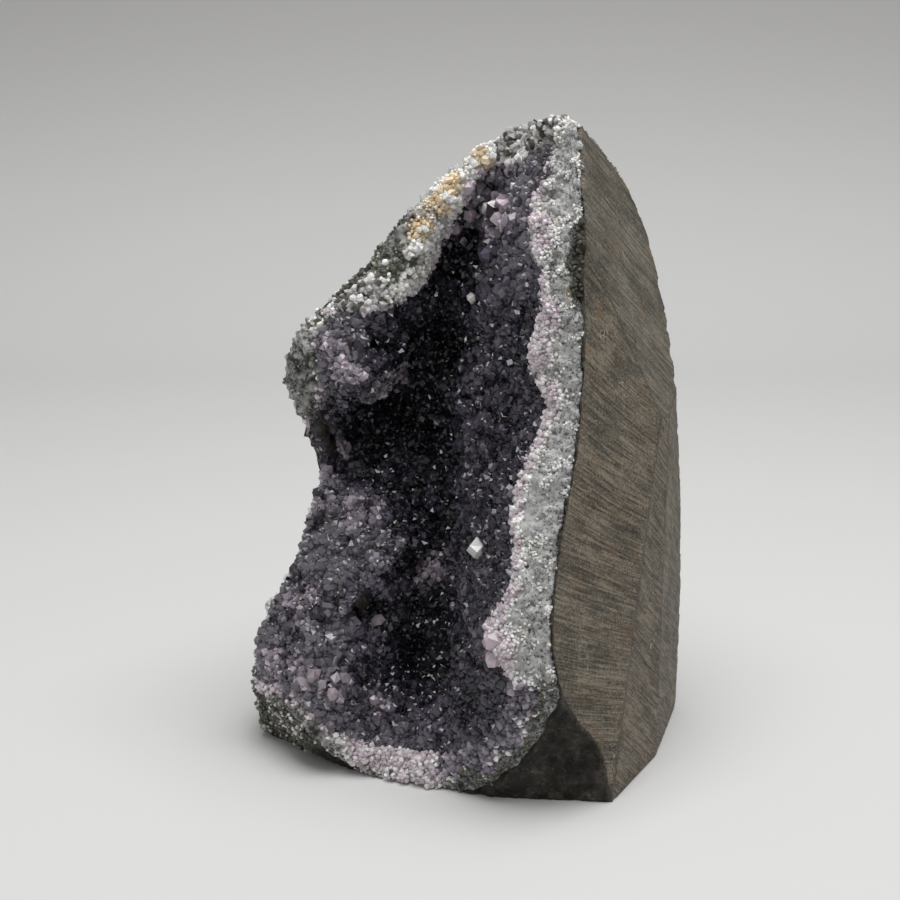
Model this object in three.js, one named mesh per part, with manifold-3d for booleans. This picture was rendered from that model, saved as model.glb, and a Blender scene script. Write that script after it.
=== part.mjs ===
// A standing wedge of an amethyst geode: sawn basalt, a rind of white quartz and a lining of amethyst crystals.
// Millimetres, +Z up, the hollow opens towards -Y and the sawn side faces +X.
import * as THREE from "three";
import { mergeVertices } from "three/addons/utils/BufferGeometryUtils.js";
import Module from "manifold-3d";

const wasm = await Module();
wasm.setup();

// Driving dimensions, in millimetres and degrees.
const GRID = 3.4; // spacing of the mesh that carries the opened face
const LAYER_GAP = 0.3;
const DRUSE_THICKNESS = 3.2;
const RIND_THICKNESS = 7.5;
const LAYER_TAPER = 0.9; // how fast a layer thins out towards its own edge
const STEEPEST = 1.6; // limit on how far a layer is stretched where the face is steep
const BLANK = { left: -46, right: 50, front: -60, back: 60, height: 124 };
const OUTLINE_LEAN = 15; // the stone's edges slope down by this much towards the back
const SHOW_TURN = 25; // turns the drawn frame so that the sawn side faces +X
const CUT_REACH = 200; // size of the block that cuts each flat face
const SIDE_FALL = 0.9; // how fast the face falls back outside its left rim
const LINE_STEPS = 24; // samples for each given point of a climbing line
const STONE_STEPS = 90; // samples round the stone's own outline
const LAYER_STEPS = 120; // samples round the outline of a layer
const WELD = 1e-4; // vertices closer than this are one

// The opened face is drawn with x to the right, y to the back and z up, as lines that climb from the base to the peak.
const RIM_LINE = [
  [-34.5, 5, 0], [-37, 1.5, 11], [-35.5, 1, 21], [-28, 5, 40], [-25, 8, 51], [-28, 9.5, 66], [-29, 9, 75],
  [-24.5, 10.5, 81], [-13, 12, 93], [-6, 14, 102], [2, 17, 109], [14, 20, 116], [20, 21, 124],
];
const MOUND_LINE = [
  [-20.5, -10, 0], [-22.5, -14, 9], [-21.5, -11.5, 20], [-17, -8, 31], [-11.5, -5, 41], [-15, 4, 48], [-18, 12.5, 56],
  [-17.5, 12, 62.5], [-15.5, -2, 68.5], [-16, 0, 77], [-13, 4.5, 86], [-9, 7.5, 94], [-1, 10, 102], [8, 14, 114], [12, 16, 124],
];
const HOLLOW_LINE = [
  [-9, -16, 0], [-8.5, -11, 9], [-4.5, -1, 19], [-2.5, 3, 30], [-1, 9, 41], [-3.5, 14.5, 51], [-7, 19, 60],
  [-4, 19.5, 70], [-1, 18, 82], [1, 17, 92], [5, 15, 101], [11.5, 15, 114], [15, 15, 124],
];
const WALL_LINE = [
  [0, -19.5, 0], [3.5, -22, 15], [4, -19, 30], [5.5, -13, 46], [8, -6, 60], [9, -1, 78], [12, 1.5, 100],
  [16.5, 9, 114], [18.5, 11, 124],
];
const BAND_LINE = [
  [6, -22, 0], [10.5, -28, 16], [7.5, -28, 30], [11, -25, 43], [14, -17, 59], [17, -12, 70], [15.5, -9.5, 82],
  [17, -7, 95], [18, 0, 106], [19.5, 4, 114], [21, 5, 124],
];
const SAWN_LINE = [
  [28.6, -24.6, 0], [27, -24.5, 10], [20.5, -29.5, 20], [17.4, -30.6, 29], [18, -27.5, 43], [21, -20, 61],
  [23, -14, 80], [22.8, -11.3, 94], [26, -4.2, 112.5], [28, -2, 124],
];

// The stone's own edge, seen from the front, walked anticlockwise from the foot of the left lobe.
const STONE_OUTLINE = [
  [-28.5, -4], [20, -9], [45.5, -6], [45.4, 16], [44.8, 38], [43.6, 54], [42, 66], [40.8, 78], [38.8, 90], [35.8, 101],
  [30.3, 110.5], [24.5, 116], [19, 118.2], [14, 118.2], [7.5, 116], [0.5, 111], [-7, 103.5], [-13, 95.5], [-21, 87],
  [-27, 81.5], [-30, 75], [-28.8, 67], [-25, 60], [-24, 53], [-26, 45.5], [-29.7, 34], [-34.3, 26], [-36.7, 17],
  [-36.7, 9.5], [-35.8, 4], [-33.5, 0.6],
];

// Where the crystals end and where the quartz ends on the opened face, seen from the front.
const DRUSE_OUTLINE = [
  [-44, 14], [-34, 12], [-28, 12], [-22, 8.5], [-14.5, 5], [-4, 4.5], [3.5, 8.5], [8.5, 14], [11, 21], [9.5, 28], [6.5, 31],
  [9.5, 37], [12, 45], [11.5, 51], [13, 57], [15, 62], [18, 70], [14.5, 76], [16.5, 85], [16.5, 91], [14.8, 101], [17.5, 107],
  [17, 112], [9, 109.5], [3.5, 106], [1, 99], [-2.5, 93], [-5.5, 86.5], [-11, 84], [-22, 82], [-25, 77], [-24.5, 66], [-27, 60],
  [-44, 57],
];
const RIND_OUTLINE = [
  [-46, 11], [-33, 10.5], [-28, 9.5], [-24, 5], [-16, 0], [-5, -4], [4, 1], [12, 8], [16, 15], [17.5, 22], [16.3, 30], [17, 43],
  [20, 61], [22, 74], [21, 83], [20, 94], [21.5, 100], [24, 107], [24, 130], [6, 122], [-3, 111], [-8.5, 101], [-14, 90.5],
  [-20, 84.5], [-30, 80], [-46, 66],
];

// Flat faces: the compass angle of the outward normal (0 faces the front, 90 the right), its upward lean, and a point.
const SAWN_FACES = [
  { compass: 48, lean: 8, through: [28.6, -24.6, 0] },
  { compass: 63.5, lean: 2, through: [28.6, -24.6, 0] },
  { compass: 75, lean: 0.5, through: [43.7, 14.8, 0] },
  { compass: 67, lean: 16.7, through: [42.5, 15, 71] },
  { compass: 95, lean: 42, through: [30, 14, 107] },
];
const BROKEN_FOOT = { compass: -8, lean: -16, through: [6, -22.2, 0] };
const UNDERCUT_LOBE = { compass: -45, lean: -62, through: [-23, -5, 0] };
const BASE = { compass: 0, lean: -90, through: [0, 0, 0] };

// The rough back is a low dome, highest behind the hollow.
const BACK = { middle: [8, 54], depth: 35.5, halfWidth: 50, halfHeight: 84, fall: 17 };

const COLOURS = { rock: 0x6a6254, quartz: 0xb9b5ab, druse: 0x4a4353 };

/** Samples a line through the given points closely enough to read it at any height. */
function climb(points) {
  const curve = new THREE.CatmullRomCurve3(points.map((p) => new THREE.Vector3(...p)), false, "centripetal");
  return curve.getPoints(LINE_STEPS * points.length);
}

/** The point of a climbing line at height z. */
function atHeight(line, z) {
  const next = line.findIndex((p) => p.z > z);
  if (next === 0) return line[0];
  if (next < 0) return line.at(-1);
  const [low, high] = [line[next - 1], line[next]];
  return low.clone().lerp(high, (z - low.z) / Math.max(high.z - low.z, 1e-6));
}

/** Slope at a knot that never makes the curve overshoot: zero at a crest or a hollow. */
function knotSlope(before, after) {
  return before * after > 0 ? (2 * before * after) / (before + after) : 0;
}

const FACE_LINES = [RIM_LINE, MOUND_LINE, HOLLOW_LINE, WALL_LINE, BAND_LINE, SAWN_LINE].map(climb);

/** Depth of the opened face at (x, z): a smooth curve across the climbing lines. */
function faceDepth(x, z) {
  const knots = FACE_LINES.map((line) => atHeight(line, z));
  const [rim, edge] = [knots[0], knots.at(-1)];
  if (x <= rim.x) return rim.y + SIDE_FALL * (rim.x - x);
  if (x >= edge.x) return edge.y;
  const i = knots.findIndex((k) => k.x > x) - 1;
  const rise = knots.slice(1).map((k, j) => (k.y - knots[j].y) / Math.max(k.x - knots[j].x, 1));
  const width = knots[i + 1].x - knots[i].x;
  const startSlope = i > 0 ? knotSlope(rise[i - 1], rise[i]) : rise[0];
  const endSlope = i < rise.length - 1 ? knotSlope(rise[i], rise[i + 1]) : rise[i];
  const t = (x - knots[i].x) / width;
  const u = 1 - t;
  return (
    (1 + 2 * t) * u * u * knots[i].y +
    t * u * u * width * startSlope +
    t * t * (3 - 2 * t) * knots[i + 1].y -
    t * t * u * width * endSlope
  );
}

/** How much longer a step into the stone is than a step along its normal, at (x, z). */
function faceStretch(x, z) {
  const step = GRID / 2;
  const acrossSlope = (faceDepth(x + step, z) - faceDepth(x - step, z)) / (2 * step);
  const upSlope = (faceDepth(x, z + step) - faceDepth(x, z - step)) / (2 * step);
  return Math.min(Math.hypot(1, acrossSlope, upSlope), STEEPEST);
}

/** Depth of the rough back at (x, z). */
function backDepth(x, z) {
  const across = (x - BACK.middle[0]) / BACK.halfWidth;
  const up = (z - BACK.middle[1]) / BACK.halfHeight;
  return BACK.depth - BACK.fall * (across ** 2 + up ** 2);
}

/** A closed outline as a smooth run of 2-D points. */
function smoothOutline(points, steps) {
  const curve = new THREE.CatmullRomCurve3(points.map(([x, z]) => new THREE.Vector3(x, 0, z)), true, "centripetal");
  return curve.getPoints(steps).slice(0, -1).map((p) => new THREE.Vector2(p.x, p.z));
}

/** Signed distance from (x, z) to an outline: positive inside it. */
function insideBy(outline, x, z) {
  let nearest = Infinity;
  let inside = false;
  outline.forEach((a, i) => {
    const b = outline[(i + 1) % outline.length];
    const along = THREE.MathUtils.clamp(
      ((x - a.x) * (b.x - a.x) + (z - a.y) * (b.y - a.y)) / a.distanceToSquared(b),
      0,
      1,
    );
    nearest = Math.min(nearest, Math.hypot(x - a.x - along * (b.x - a.x), z - a.y - along * (b.y - a.y)));
    if (a.y > z !== b.y > z && x < ((b.x - a.x) * (z - a.y)) / (b.y - a.y) + a.x) inside = !inside;
  });
  return inside ? nearest : -nearest;
}

/** A three.js geometry as a manifold-3d solid. */
function solidOf(geometry) {
  geometry.deleteAttribute("normal");
  geometry.deleteAttribute("uv");
  const merged = mergeVertices(geometry, WELD);
  return new wasm.Manifold(
    new wasm.Mesh({
      numProp: 3,
      vertProperties: new Float32Array(merged.attributes.position.array),
      triVerts: new Uint32Array(merged.index.array),
    }),
  );
}

/** A manifold-3d solid as a three.js geometry. */
function geometryOf(solid) {
  const mesh = solid.getMesh();
  return new THREE.BufferGeometry()
    .setAttribute("position", new THREE.BufferAttribute(mesh.vertProperties, mesh.numProp))
    .setIndex(new THREE.BufferAttribute(mesh.triVerts, 1));
}

/** Everything behind the depth frontAt(x, z) and in front of the depth rearAt(x, z). */
function slab(frontAt, rearAt) {
  const width = BLANK.right - BLANK.left;
  const [columns, rows] = [Math.round(width / GRID), Math.round(BLANK.height / GRID)];
  const box = new THREE.BoxGeometry(width, 1, BLANK.height, columns, 1, rows);
  box.translate((BLANK.left + BLANK.right) / 2, 0, BLANK.height / 2);
  const places = box.attributes.position;
  for (let i = 0; i < places.count; i += 1) {
    const depthAt = places.getY(i) < 0 ? frontAt : rearAt;
    places.setY(i, depthAt(places.getX(i), places.getZ(i)));
  }
  return solidOf(box);
}

/** The stone's outline carried straight to the back, sloping down as it goes. */
function outlinePrism() {
  const length = BLANK.back - BLANK.front;
  const shape = new THREE.Shape(smoothOutline(STONE_OUTLINE, STONE_STEPS));
  const prism = new THREE.ExtrudeGeometry(shape, { depth: length, bevelEnabled: false });
  prism.rotateX(Math.PI / 2);
  prism.translate(0, BLANK.back, 0);
  const slope = Math.tan(THREE.MathUtils.degToRad(OUTLINE_LEAN));
  prism.applyMatrix4(new THREE.Matrix4().makeShear(0, 0, 0, -slope, 0, 0));
  return solidOf(prism);
}

/** Everything outside one flat face, as a large block. */
function beyond({ compass, lean, through }) {
  const [turn, rise] = [THREE.MathUtils.degToRad(compass), THREE.MathUtils.degToRad(lean)];
  const outward = new THREE.Vector3(Math.sin(turn) * Math.cos(rise), -Math.cos(turn) * Math.cos(rise), Math.sin(rise));
  const block = new THREE.BoxGeometry(CUT_REACH, CUT_REACH, CUT_REACH);
  block.translate(0, 0, CUT_REACH / 2);
  block.applyQuaternion(new THREE.Quaternion().setFromUnitVectors(new THREE.Vector3(0, 0, 1), outward));
  block.translate(...through);
  return solidOf(block);
}

/** The largest body of a solid, without the slivers that a cut can leave. */
function largest(solid) {
  const bodies = solid.decompose();
  return bodies.reduce((best, body) => (body.volume() > best.volume() ? body : best));
}

/** The whole stone before it is divided into its layers. */
function wholeStone() {
  const rough = slab(faceDepth, backDepth).intersect(outlinePrism());
  const faces = [...SAWN_FACES, BROKEN_FOOT, UNDERCUT_LOBE, BASE];
  return faces.reduce((stone, face) => stone.subtract(beyond(face)), rough);
}

/** A depth surface under the opened face, at a thickness that runs out at an outline. */
function under(outline, thickness, clearance = 0) {
  return (x, z) => {
    const reach = Math.min(LAYER_TAPER * insideBy(outline, x, z), thickness);
    return faceDepth(x, z) + (reach + clearance) * faceStretch(x, z);
  };
}

const atBack = () => BLANK.back;
const druseEdge = smoothOutline(DRUSE_OUTLINE, LAYER_STEPS);
const rindEdge = smoothOutline(RIND_OUTLINE, LAYER_STEPS);
const stone = wholeStone();
const underDruse = slab(under(druseEdge, DRUSE_THICKNESS), atBack);
const rindFront = slab(under(druseEdge, DRUSE_THICKNESS, LAYER_GAP), atBack);
const underRind = slab(under(rindEdge, RIND_THICKNESS), atBack);
const rockFront = slab(under(rindEdge, RIND_THICKNESS, LAYER_GAP), atBack);

const layers = {
  amethyst_druse: { solid: stone.subtract(underDruse).subtract(underRind), colour: COLOURS.druse, roughness: 0.25 },
  quartz_rind: { solid: stone.intersect(rindFront).subtract(underRind), colour: COLOURS.quartz, roughness: 0.6 },
  host_rock: { solid: stone.intersect(rockFront), colour: COLOURS.rock, roughness: 0.85 },
};

const geode = new THREE.Group();
geode.name = "amethyst_geode";
const bounds = new THREE.Box3();
for (const [name, { solid, colour, roughness }] of Object.entries(layers)) {
  const geometry = geometryOf(largest(solid));
  geometry.rotateZ(THREE.MathUtils.degToRad(SHOW_TURN));
  geometry.computeBoundingBox();
  bounds.union(geometry.boundingBox);
  const mesh = new THREE.Mesh(geometry, new THREE.MeshStandardMaterial({ color: colour, roughness, metalness: 0 }));
  mesh.name = name;
  geode.add(mesh);
}

// The origin is the middle of the footprint's box, on the surface that the stone stands on.
const middle = bounds.getCenter(new THREE.Vector3());
for (const layer of geode.children) {
  layer.position.set(-middle.x, -middle.y, -bounds.min.z);
}

export default geode;
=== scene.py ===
"""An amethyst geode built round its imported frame.

The stone's outer skin is one fine shell made from the three packed layers. The basalt, the quartz rind and
the bed of the druse are cut from that skin, and thousands of small crystals are then grown on the bed and
along the rind. Lengths are in metres. +Z is up, the hollow opens towards -Y and the sawn side faces +X.
"""

import logging
import math
from dataclasses import dataclass, field
from enum import Enum

import bpy
import numpy as np
from mathutils import Matrix, Vector, noise
from mathutils.bvhtree import BVHTree


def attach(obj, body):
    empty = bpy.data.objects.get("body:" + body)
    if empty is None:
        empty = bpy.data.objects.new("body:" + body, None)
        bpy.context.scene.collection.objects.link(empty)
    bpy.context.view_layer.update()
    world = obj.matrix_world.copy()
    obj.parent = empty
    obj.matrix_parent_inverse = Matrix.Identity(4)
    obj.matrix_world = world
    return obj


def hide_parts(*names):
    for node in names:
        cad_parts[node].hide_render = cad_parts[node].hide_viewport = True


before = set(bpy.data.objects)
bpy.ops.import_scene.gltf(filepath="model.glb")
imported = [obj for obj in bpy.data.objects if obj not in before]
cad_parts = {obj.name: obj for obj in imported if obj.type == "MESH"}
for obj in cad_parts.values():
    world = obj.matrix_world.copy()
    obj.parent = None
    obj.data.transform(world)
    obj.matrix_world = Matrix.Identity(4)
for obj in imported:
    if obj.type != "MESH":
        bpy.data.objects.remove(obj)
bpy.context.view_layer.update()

Array = np.ndarray
Chance = np.random.Generator
Material = bpy.types.Material
Piece = bpy.types.Object
Socket = bpy.types.NodeSocket

LOG = logging.getLogger("geode")
BODY = "root"
CHART_MAP = "OFBake"
MM = 0.001
FRONT_LIMIT = -34.3 * MM
GOLDEN_TURN = math.pi * (3.0 - math.sqrt(5.0))
QUARTZ_IOR = 1.55


class Node(Enum):
    """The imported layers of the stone."""

    ROCK = "host_rock"
    RIND = "quartz_rind"
    DRUSE = "amethyst_druse"


class Slot(Enum):
    """The record's material slots."""

    BASALT = "basalt"
    QUARTZ = "white_quartz"
    AMETHYST = "amethyst"


class Part(Enum):
    """What edit mode selects."""

    CORNERS = (True, False, False)
    EDGES = (False, True, False)
    FACES = (False, False, True)


class Hue(float, Enum):
    """Columns of the crystals' colour chart, from 0 to 1."""

    DEEP = 0.05
    VIOLET = 0.18
    SMOKY = 0.32
    LILAC = 0.46
    PINK = 0.60
    MILK = 0.74
    HONEY = 0.86
    MOSS = 0.96


# Mesh helpers


def deselect() -> None:
    """Leaves nothing selected."""
    bpy.ops.object.select_all(action="DESELECT")


def pick(*pieces: Piece) -> Piece:
    """Selects only these pieces and makes the first one active.

    Args:
        pieces: The pieces to select.

    Returns:
        The active piece.
    """
    deselect()
    for piece in pieces:
        piece.select_set(True)
    bpy.context.view_layer.objects.active = pieces[0]
    return pieces[0]


def copy_of(piece: Piece, name: str) -> Piece:
    """Copies a piece with its own mesh, free of parents and of the frame's marks.

    Args:
        piece: The piece to copy.
        name: The copy's name.

    Returns:
        The copy.
    """
    mesh = piece.data.copy()
    made = bpy.data.objects.new(name, mesh)
    mesh.name = name
    bpy.context.scene.collection.objects.link(made)
    return made


def edit(piece: Piece) -> None:
    """Opens a piece in edit mode with all of it selected.

    Args:
        piece: The piece to open.
    """
    pick(piece)
    bpy.ops.object.mode_set(mode="EDIT")
    bpy.ops.mesh.select_all(action="SELECT")


def edit_part(piece: Piece, part: Part, wanted: Array | list[bool]) -> None:
    """Opens a piece in edit mode with only some of its edges or faces selected.

    Args:
        piece: The piece to open.
        part: Whether edges or faces are selected.
        wanted: True for each edge or face to select.
    """
    bpy.context.tool_settings.mesh_select_mode = part.value
    edit(piece)
    bpy.ops.mesh.select_all(action="DESELECT")
    bpy.ops.object.mode_set(mode="OBJECT")
    elements = piece.data.edges if part is Part.EDGES else piece.data.polygons
    elements.foreach_set("select", wanted)
    bpy.ops.object.mode_set(mode="EDIT")


def leave_edit() -> None:
    """Goes back to object mode, and to selecting corners."""
    bpy.ops.object.mode_set(mode="OBJECT")
    bpy.context.tool_settings.mesh_select_mode = Part.CORNERS.value


def apply(piece: Piece, kind: str, **settings: object) -> None:
    """Adds a modifier with these settings and applies it.

    Args:
        piece: The piece to change.
        kind: The modifier's type.
        settings: Its properties by name.
    """
    pick(piece)
    modifier = piece.modifiers.new(kind.lower(), kind)
    for name, value in settings.items():
        setattr(modifier, name, value)
    bpy.ops.object.modifier_apply(modifier=modifier.name)


def read(elements: object, name: str, width: int = 1, kind: type = np.int32) -> Array:
    """Reads one property of a mesh's vertices, edges, corners or faces.

    Args:
        elements: The collection that holds them.
        name: The property.
        width: How many numbers it has.
        kind: Their type.

    Returns:
        One row for each element, or one number if the width is 1.
    """
    found = np.empty(len(elements) * width, kind)
    elements.foreach_get(name, found)
    return found.reshape(-1, width) if width > 1 else found


def places(piece: Piece) -> Array:
    """Where a piece's vertices are, as rows (x, y, z)."""
    return read(piece.data.vertices, "co", 3, float)


def normals(piece: Piece) -> Array:
    """Which way a piece's vertices face, as rows (x, y, z)."""
    return read(piece.data.vertex_normals, "vector", 3, np.float32).astype(float)


def move_to(piece: Piece, where: Array) -> None:
    """Puts the piece's vertices at these places."""
    piece.data.vertices.foreach_set("co", where.ravel())
    piece.data.update()


def stand(piece: Piece, where: Array) -> None:
    """Puts the piece's vertices at these places, none of them below the ground."""
    where[:, 2] = np.maximum(where[:, 2], 0.0)
    move_to(piece, where)


def dress(piece: Piece, material: Material) -> None:
    """Gives the whole piece one material."""
    piece.data.materials.clear()
    piece.data.materials.append(material)


def keep(piece: Piece, name: str, values: Array) -> None:
    """Stores one number, or one vector, for each vertex as a mesh attribute.

    Args:
        piece: The piece that holds the attribute.
        name: The attribute's name.
        values: One row for each vertex.
    """
    kind, key = ("FLOAT", "value") if values.ndim == 1 else ("FLOAT_VECTOR", "vector")
    attribute = piece.data.attributes.get(name) or piece.data.attributes.new(name, kind, "POINT")
    attribute.data.foreach_set(key, values.astype(np.float32).ravel())


def kept(piece: Piece, name: str) -> Array:
    """Reads a number stored for each vertex."""
    return read(piece.data.attributes[name].data, "value", 1, np.float32).astype(float)


def step(low: float, high: float, values: Array) -> Array:
    """A smooth step that rises from 0 at low to 1 at high."""
    t = np.clip((values - low) / (high - low), 0.0, 1.0)
    return t * t * (3.0 - 2.0 * t)


def wander(where: Array, size: float, seed: float, octaves: int = 1) -> Array:
    """Smooth noise from about -1 to 1 at each place.

    Args:
        where: Rows (x, y, z).
        size: The width of its lumps.
        seed: A shift that makes one pattern differ from another.
        octaves: How many finer layers it has.

    Returns:
        One value for each row.
    """
    shift = Vector((seed, 1.7 * seed, -0.6 * seed))
    scaled = where / size
    if octaves == 1:
        return np.array([noise.noise(Vector(p) + shift) for p in scaled])
    return np.array([noise.fractal(Vector(p) + shift, 1.0, 2.1, octaves) for p in scaled])


def blurred(piece: Piece, values: Array, rounds: int) -> Array:
    """Evens a vertex value out with its neighbours' a few times.

    Args:
        piece: The piece that the values belong to.
        values: One number for each vertex.
        rounds: How often it is done.

    Returns:
        The evened values.
    """
    a, b = read(piece.data.edges, "vertices", 2).T
    count = len(values)
    links = np.maximum(np.bincount(a, minlength=count) + np.bincount(b, minlength=count), 1)
    for _ in range(rounds):
        values = (np.bincount(a, values[b], count) + np.bincount(b, values[a], count)) / links
    return values


def trim(piece: Piece, keep_vertex: Array) -> None:
    """Deletes each face that has a vertex outside the wanted part.

    Args:
        piece: The piece to trim.
        keep_vertex: True for each wanted vertex.
    """
    mesh = piece.data
    first, corner = read(mesh.polygons, "loop_start"), read(mesh.loops, "vertex_index")
    wanted = np.minimum.reduceat(keep_vertex[corner].astype(np.int8), first).astype(bool)
    edit_part(piece, Part.FACES, ~wanted)
    bpy.ops.mesh.delete(type="FACE")
    leave_edit()


# The stone's skin


@dataclass
class Skin:
    """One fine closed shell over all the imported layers, with what each point of it is."""

    voxel: float = 0.65 * MM
    weld: float = 0.2 * MM
    smoothing: int = 3
    flat_area: float = 150 * MM * MM
    snap: float = 0.55 * MM
    square_on: float = 0.72
    rays: int = 26
    void_depth: float = 3.5 * MM
    creases: float = 2.2 * MM
    shell: Piece = field(init=False)
    planes: list[tuple[Array, float]] = field(init=False)
    plane_of: Array = field(init=False)

    def build(self) -> Piece:
        """Joins the layers, remeshes them and measures each point.

        Returns:
            The shell, with its measures as attributes.
        """
        layers = [self.swollen(node) for node in Node]
        pick(*layers)
        bpy.ops.object.join()
        self.shell = bpy.context.view_layer.objects.active
        self.shell.name = "skin"
        apply(self.shell, "REMESH", mode="VOXEL", voxel_size=self.voxel, use_smooth_shade=True)
        edit(self.shell)
        bpy.ops.transform.shrink_fatten(value=-self.weld)
        leave_edit()
        apply(self.shell, "SMOOTH", iterations=self.smoothing, factor=0.5)
        self.flatten()
        self.measure()
        self.hollow_out()
        return self.shell

    def hollow_out(self) -> None:
        """Deepens the dark voids of the druse and lets its ground roll."""
        where = places(self.shell)
        open_druse = step(0.3 * MM, 3.0 * MM, kept(self.shell, "druse"))
        crest = np.clip(np.abs(wander(where, 4.6 * MM, 19.0, 2)) * 2.4, 0, 1)
        rolls = wander(where, 9 * MM, 14.0) * 1.2 * MM + (crest - 0.6) * self.creases
        shift = (np.minimum(rolls, 0.35 * MM) - self.void_depth * share_of(VOIDS, where, 0.6)) * open_druse
        keep(self.shell, "crest", crest)
        move_to(self.shell, where + normals(self.shell) * shift[:, None])

    def swollen(self, node: Node) -> Piece:
        """A merged copy of a layer, swollen enough to touch its neighbours.

        Args:
            node: The layer.

        Returns:
            The copy.
        """
        layer = copy_of(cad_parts[node.value], "layer_" + node.value)
        edit(layer)
        bpy.ops.mesh.remove_doubles(threshold=1e-6)
        bpy.ops.transform.shrink_fatten(value=self.weld)
        leave_edit()
        return layer

    def flatten(self) -> None:
        """Lays the shell back on the large sawn planes, and marks them and their arrises."""
        where, facing = places(self.shell), normals(self.shell)
        self.planes = self.large_planes()
        self.plane_of = np.full(len(where), -1)
        reach = np.full(len(where), np.inf)
        for index, (outward, offset) in enumerate(self.planes):
            gap = np.abs(where @ outward - offset)
            near = (gap < self.snap) & (facing @ outward > self.square_on) & (gap < reach)
            reach[near] = gap[near]
            self.plane_of[near] = index
        for index, (outward, offset) in enumerate(self.planes):
            on = self.plane_of == index
            where[on] -= np.outer(where[on] @ outward - offset, outward)
        move_to(self.shell, where)
        keep(self.shell, "sawn", (self.plane_of >= 0).astype(float))
        LOG.info("skin lies on %d sawn planes", len(self.planes))

    def large_planes(self) -> list[tuple[Array, float]]:
        """Finds the sawn planes, which are the large flats of the rock.

        Returns:
            The outward normal and the offset of each.
        """
        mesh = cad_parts[Node.ROCK.value].data
        found: list[tuple[Array, float, float]] = []
        for face in mesh.polygons:
            outward = np.array(face.normal)
            offset = float(outward @ np.array(face.center))
            for index, (other, gap, area) in enumerate(found):
                if outward @ other > 0.9995 and abs(gap - offset) < 0.15 * MM:
                    found[index] = (other, gap, area + face.area)
                    break
            else:
                found.append((outward, offset, face.area))
        return [(outward, offset) for outward, offset, area in found if area > self.flat_area]

    def measure(self) -> None:
        """Stores how far each point is inside the rind and the druse, its saw marks and its open sky."""
        where = places(self.shell)
        trees = {}
        for node in Node:
            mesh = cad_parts[node.value].data
            corners = [v.co for v in mesh.vertices]
            trees[node] = BVHTree.FromPolygons(corners, [tuple(f.vertices) for f in mesh.polygons])
        gap = {n: np.array([t.find_nearest(Vector(p))[3] for p in where]) for n, t in trees.items()}
        keep(self.shell, "rind", gap[Node.ROCK] - np.minimum(gap[Node.RIND], gap[Node.DRUSE]))
        keep(self.shell, "druse", gap[Node.RIND] - gap[Node.DRUSE])
        keep(self.shell, "marks", self.saw_marks(where))
        keep(self.shell, "sky", self.open_sky(where, normals(self.shell)))

    def saw_marks(self, where: Array) -> Array:
        """Measures places across and along the saw's path on each plane, and keeps each plane's warmth.

        Args:
            where: The shell's points.

        Returns:
            One row for each point.
        """
        marks = where.copy()
        warmth = np.full(len(where), 0.6)
        for index, (outward, _) in enumerate(self.planes):
            face = max(SAWN_FACES, key=lambda cut: float(cut.outward() @ outward))
            level = np.cross((0.0, 0.0, 1.0), outward)
            if np.linalg.norm(level) < 0.3:
                level = np.array((1.0, 0.0, 0.0))
            level /= np.linalg.norm(level)
            on = self.plane_of == index
            run, up = where[on] @ level, where[on] @ np.cross(outward, level)
            slope = face.slope_low + (face.slope_high - face.slope_low) * up / face.height
            across = (up + run * slope) / np.sqrt(1.0 + slope**2)
            marks[on] = np.stack([across, run - up * slope, np.full(on.sum(), 0.013 * index)], 1)
            warmth[on] = face.warmth
        keep(self.shell, "warmth", warmth)
        return marks

    def open_sky(self, where: Array, facing: Array) -> Array:
        """The share of rays over each point that leave the stone, from 0 in a pit to 1 on a crest.

        Args:
            where: The shell's points.
            facing: Their normals.

        Returns:
            One share for each point.
        """
        polygons = [tuple(f.vertices) for f in self.shell.data.polygons]
        tree = BVHTree.FromPolygons([Vector(p) for p in where], polygons)
        turns = np.arange(self.rays) * GOLDEN_TURN
        heights = 1.0 - (np.arange(self.rays) + 0.5) / self.rays
        widths = np.sqrt(1.0 - heights**2)
        fan = np.stack([widths * np.cos(turns), widths * np.sin(turns), heights], 1)
        druse = kept(self.shell, "druse") > -3 * MM
        sky = np.ones(len(where))
        for i in np.flatnonzero(druse):
            turn = Vector(facing[i]).to_track_quat("Z", "Y").to_matrix()
            start = Vector(where[i] + facing[i] * 0.6 * MM)
            clear = sum(tree.ray_cast(start, turn @ Vector(ray), 0.05)[0] is None for ray in fan)
            sky[i] = clear / self.rays
        return sky


@dataclass(frozen=True)
class SawnFace:
    """Which way a sawn face looks, in degrees from the front and above the level, and how its marks slope."""

    compass: float
    lean: float
    slope_low: float
    slope_high: float
    warmth: float
    height: float = 66 * MM

    def outward(self) -> Array:
        """The direction that the face looks in."""
        turn, rise = math.radians(self.compass), math.radians(self.lean)
        return np.array((math.sin(turn) * math.cos(rise), -math.cos(turn) * math.cos(rise), math.sin(rise)))


SAWN_FACES = (
    SawnFace(73, 8, 0.25, 0.66, 1.0), SawnFace(88.5, 2, 0.75, 0.8, 1.0), SawnFace(100, 0.5, 0.55, 0.6, 0.6),
    SawnFace(92, 16.7, 0.72, 0.76, 0.3), SawnFace(120, 42, 0.5, 0.5, 0.4), SawnFace(0, -90, 0.1, 0.1, 0.5),
)


# Finishes


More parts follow.
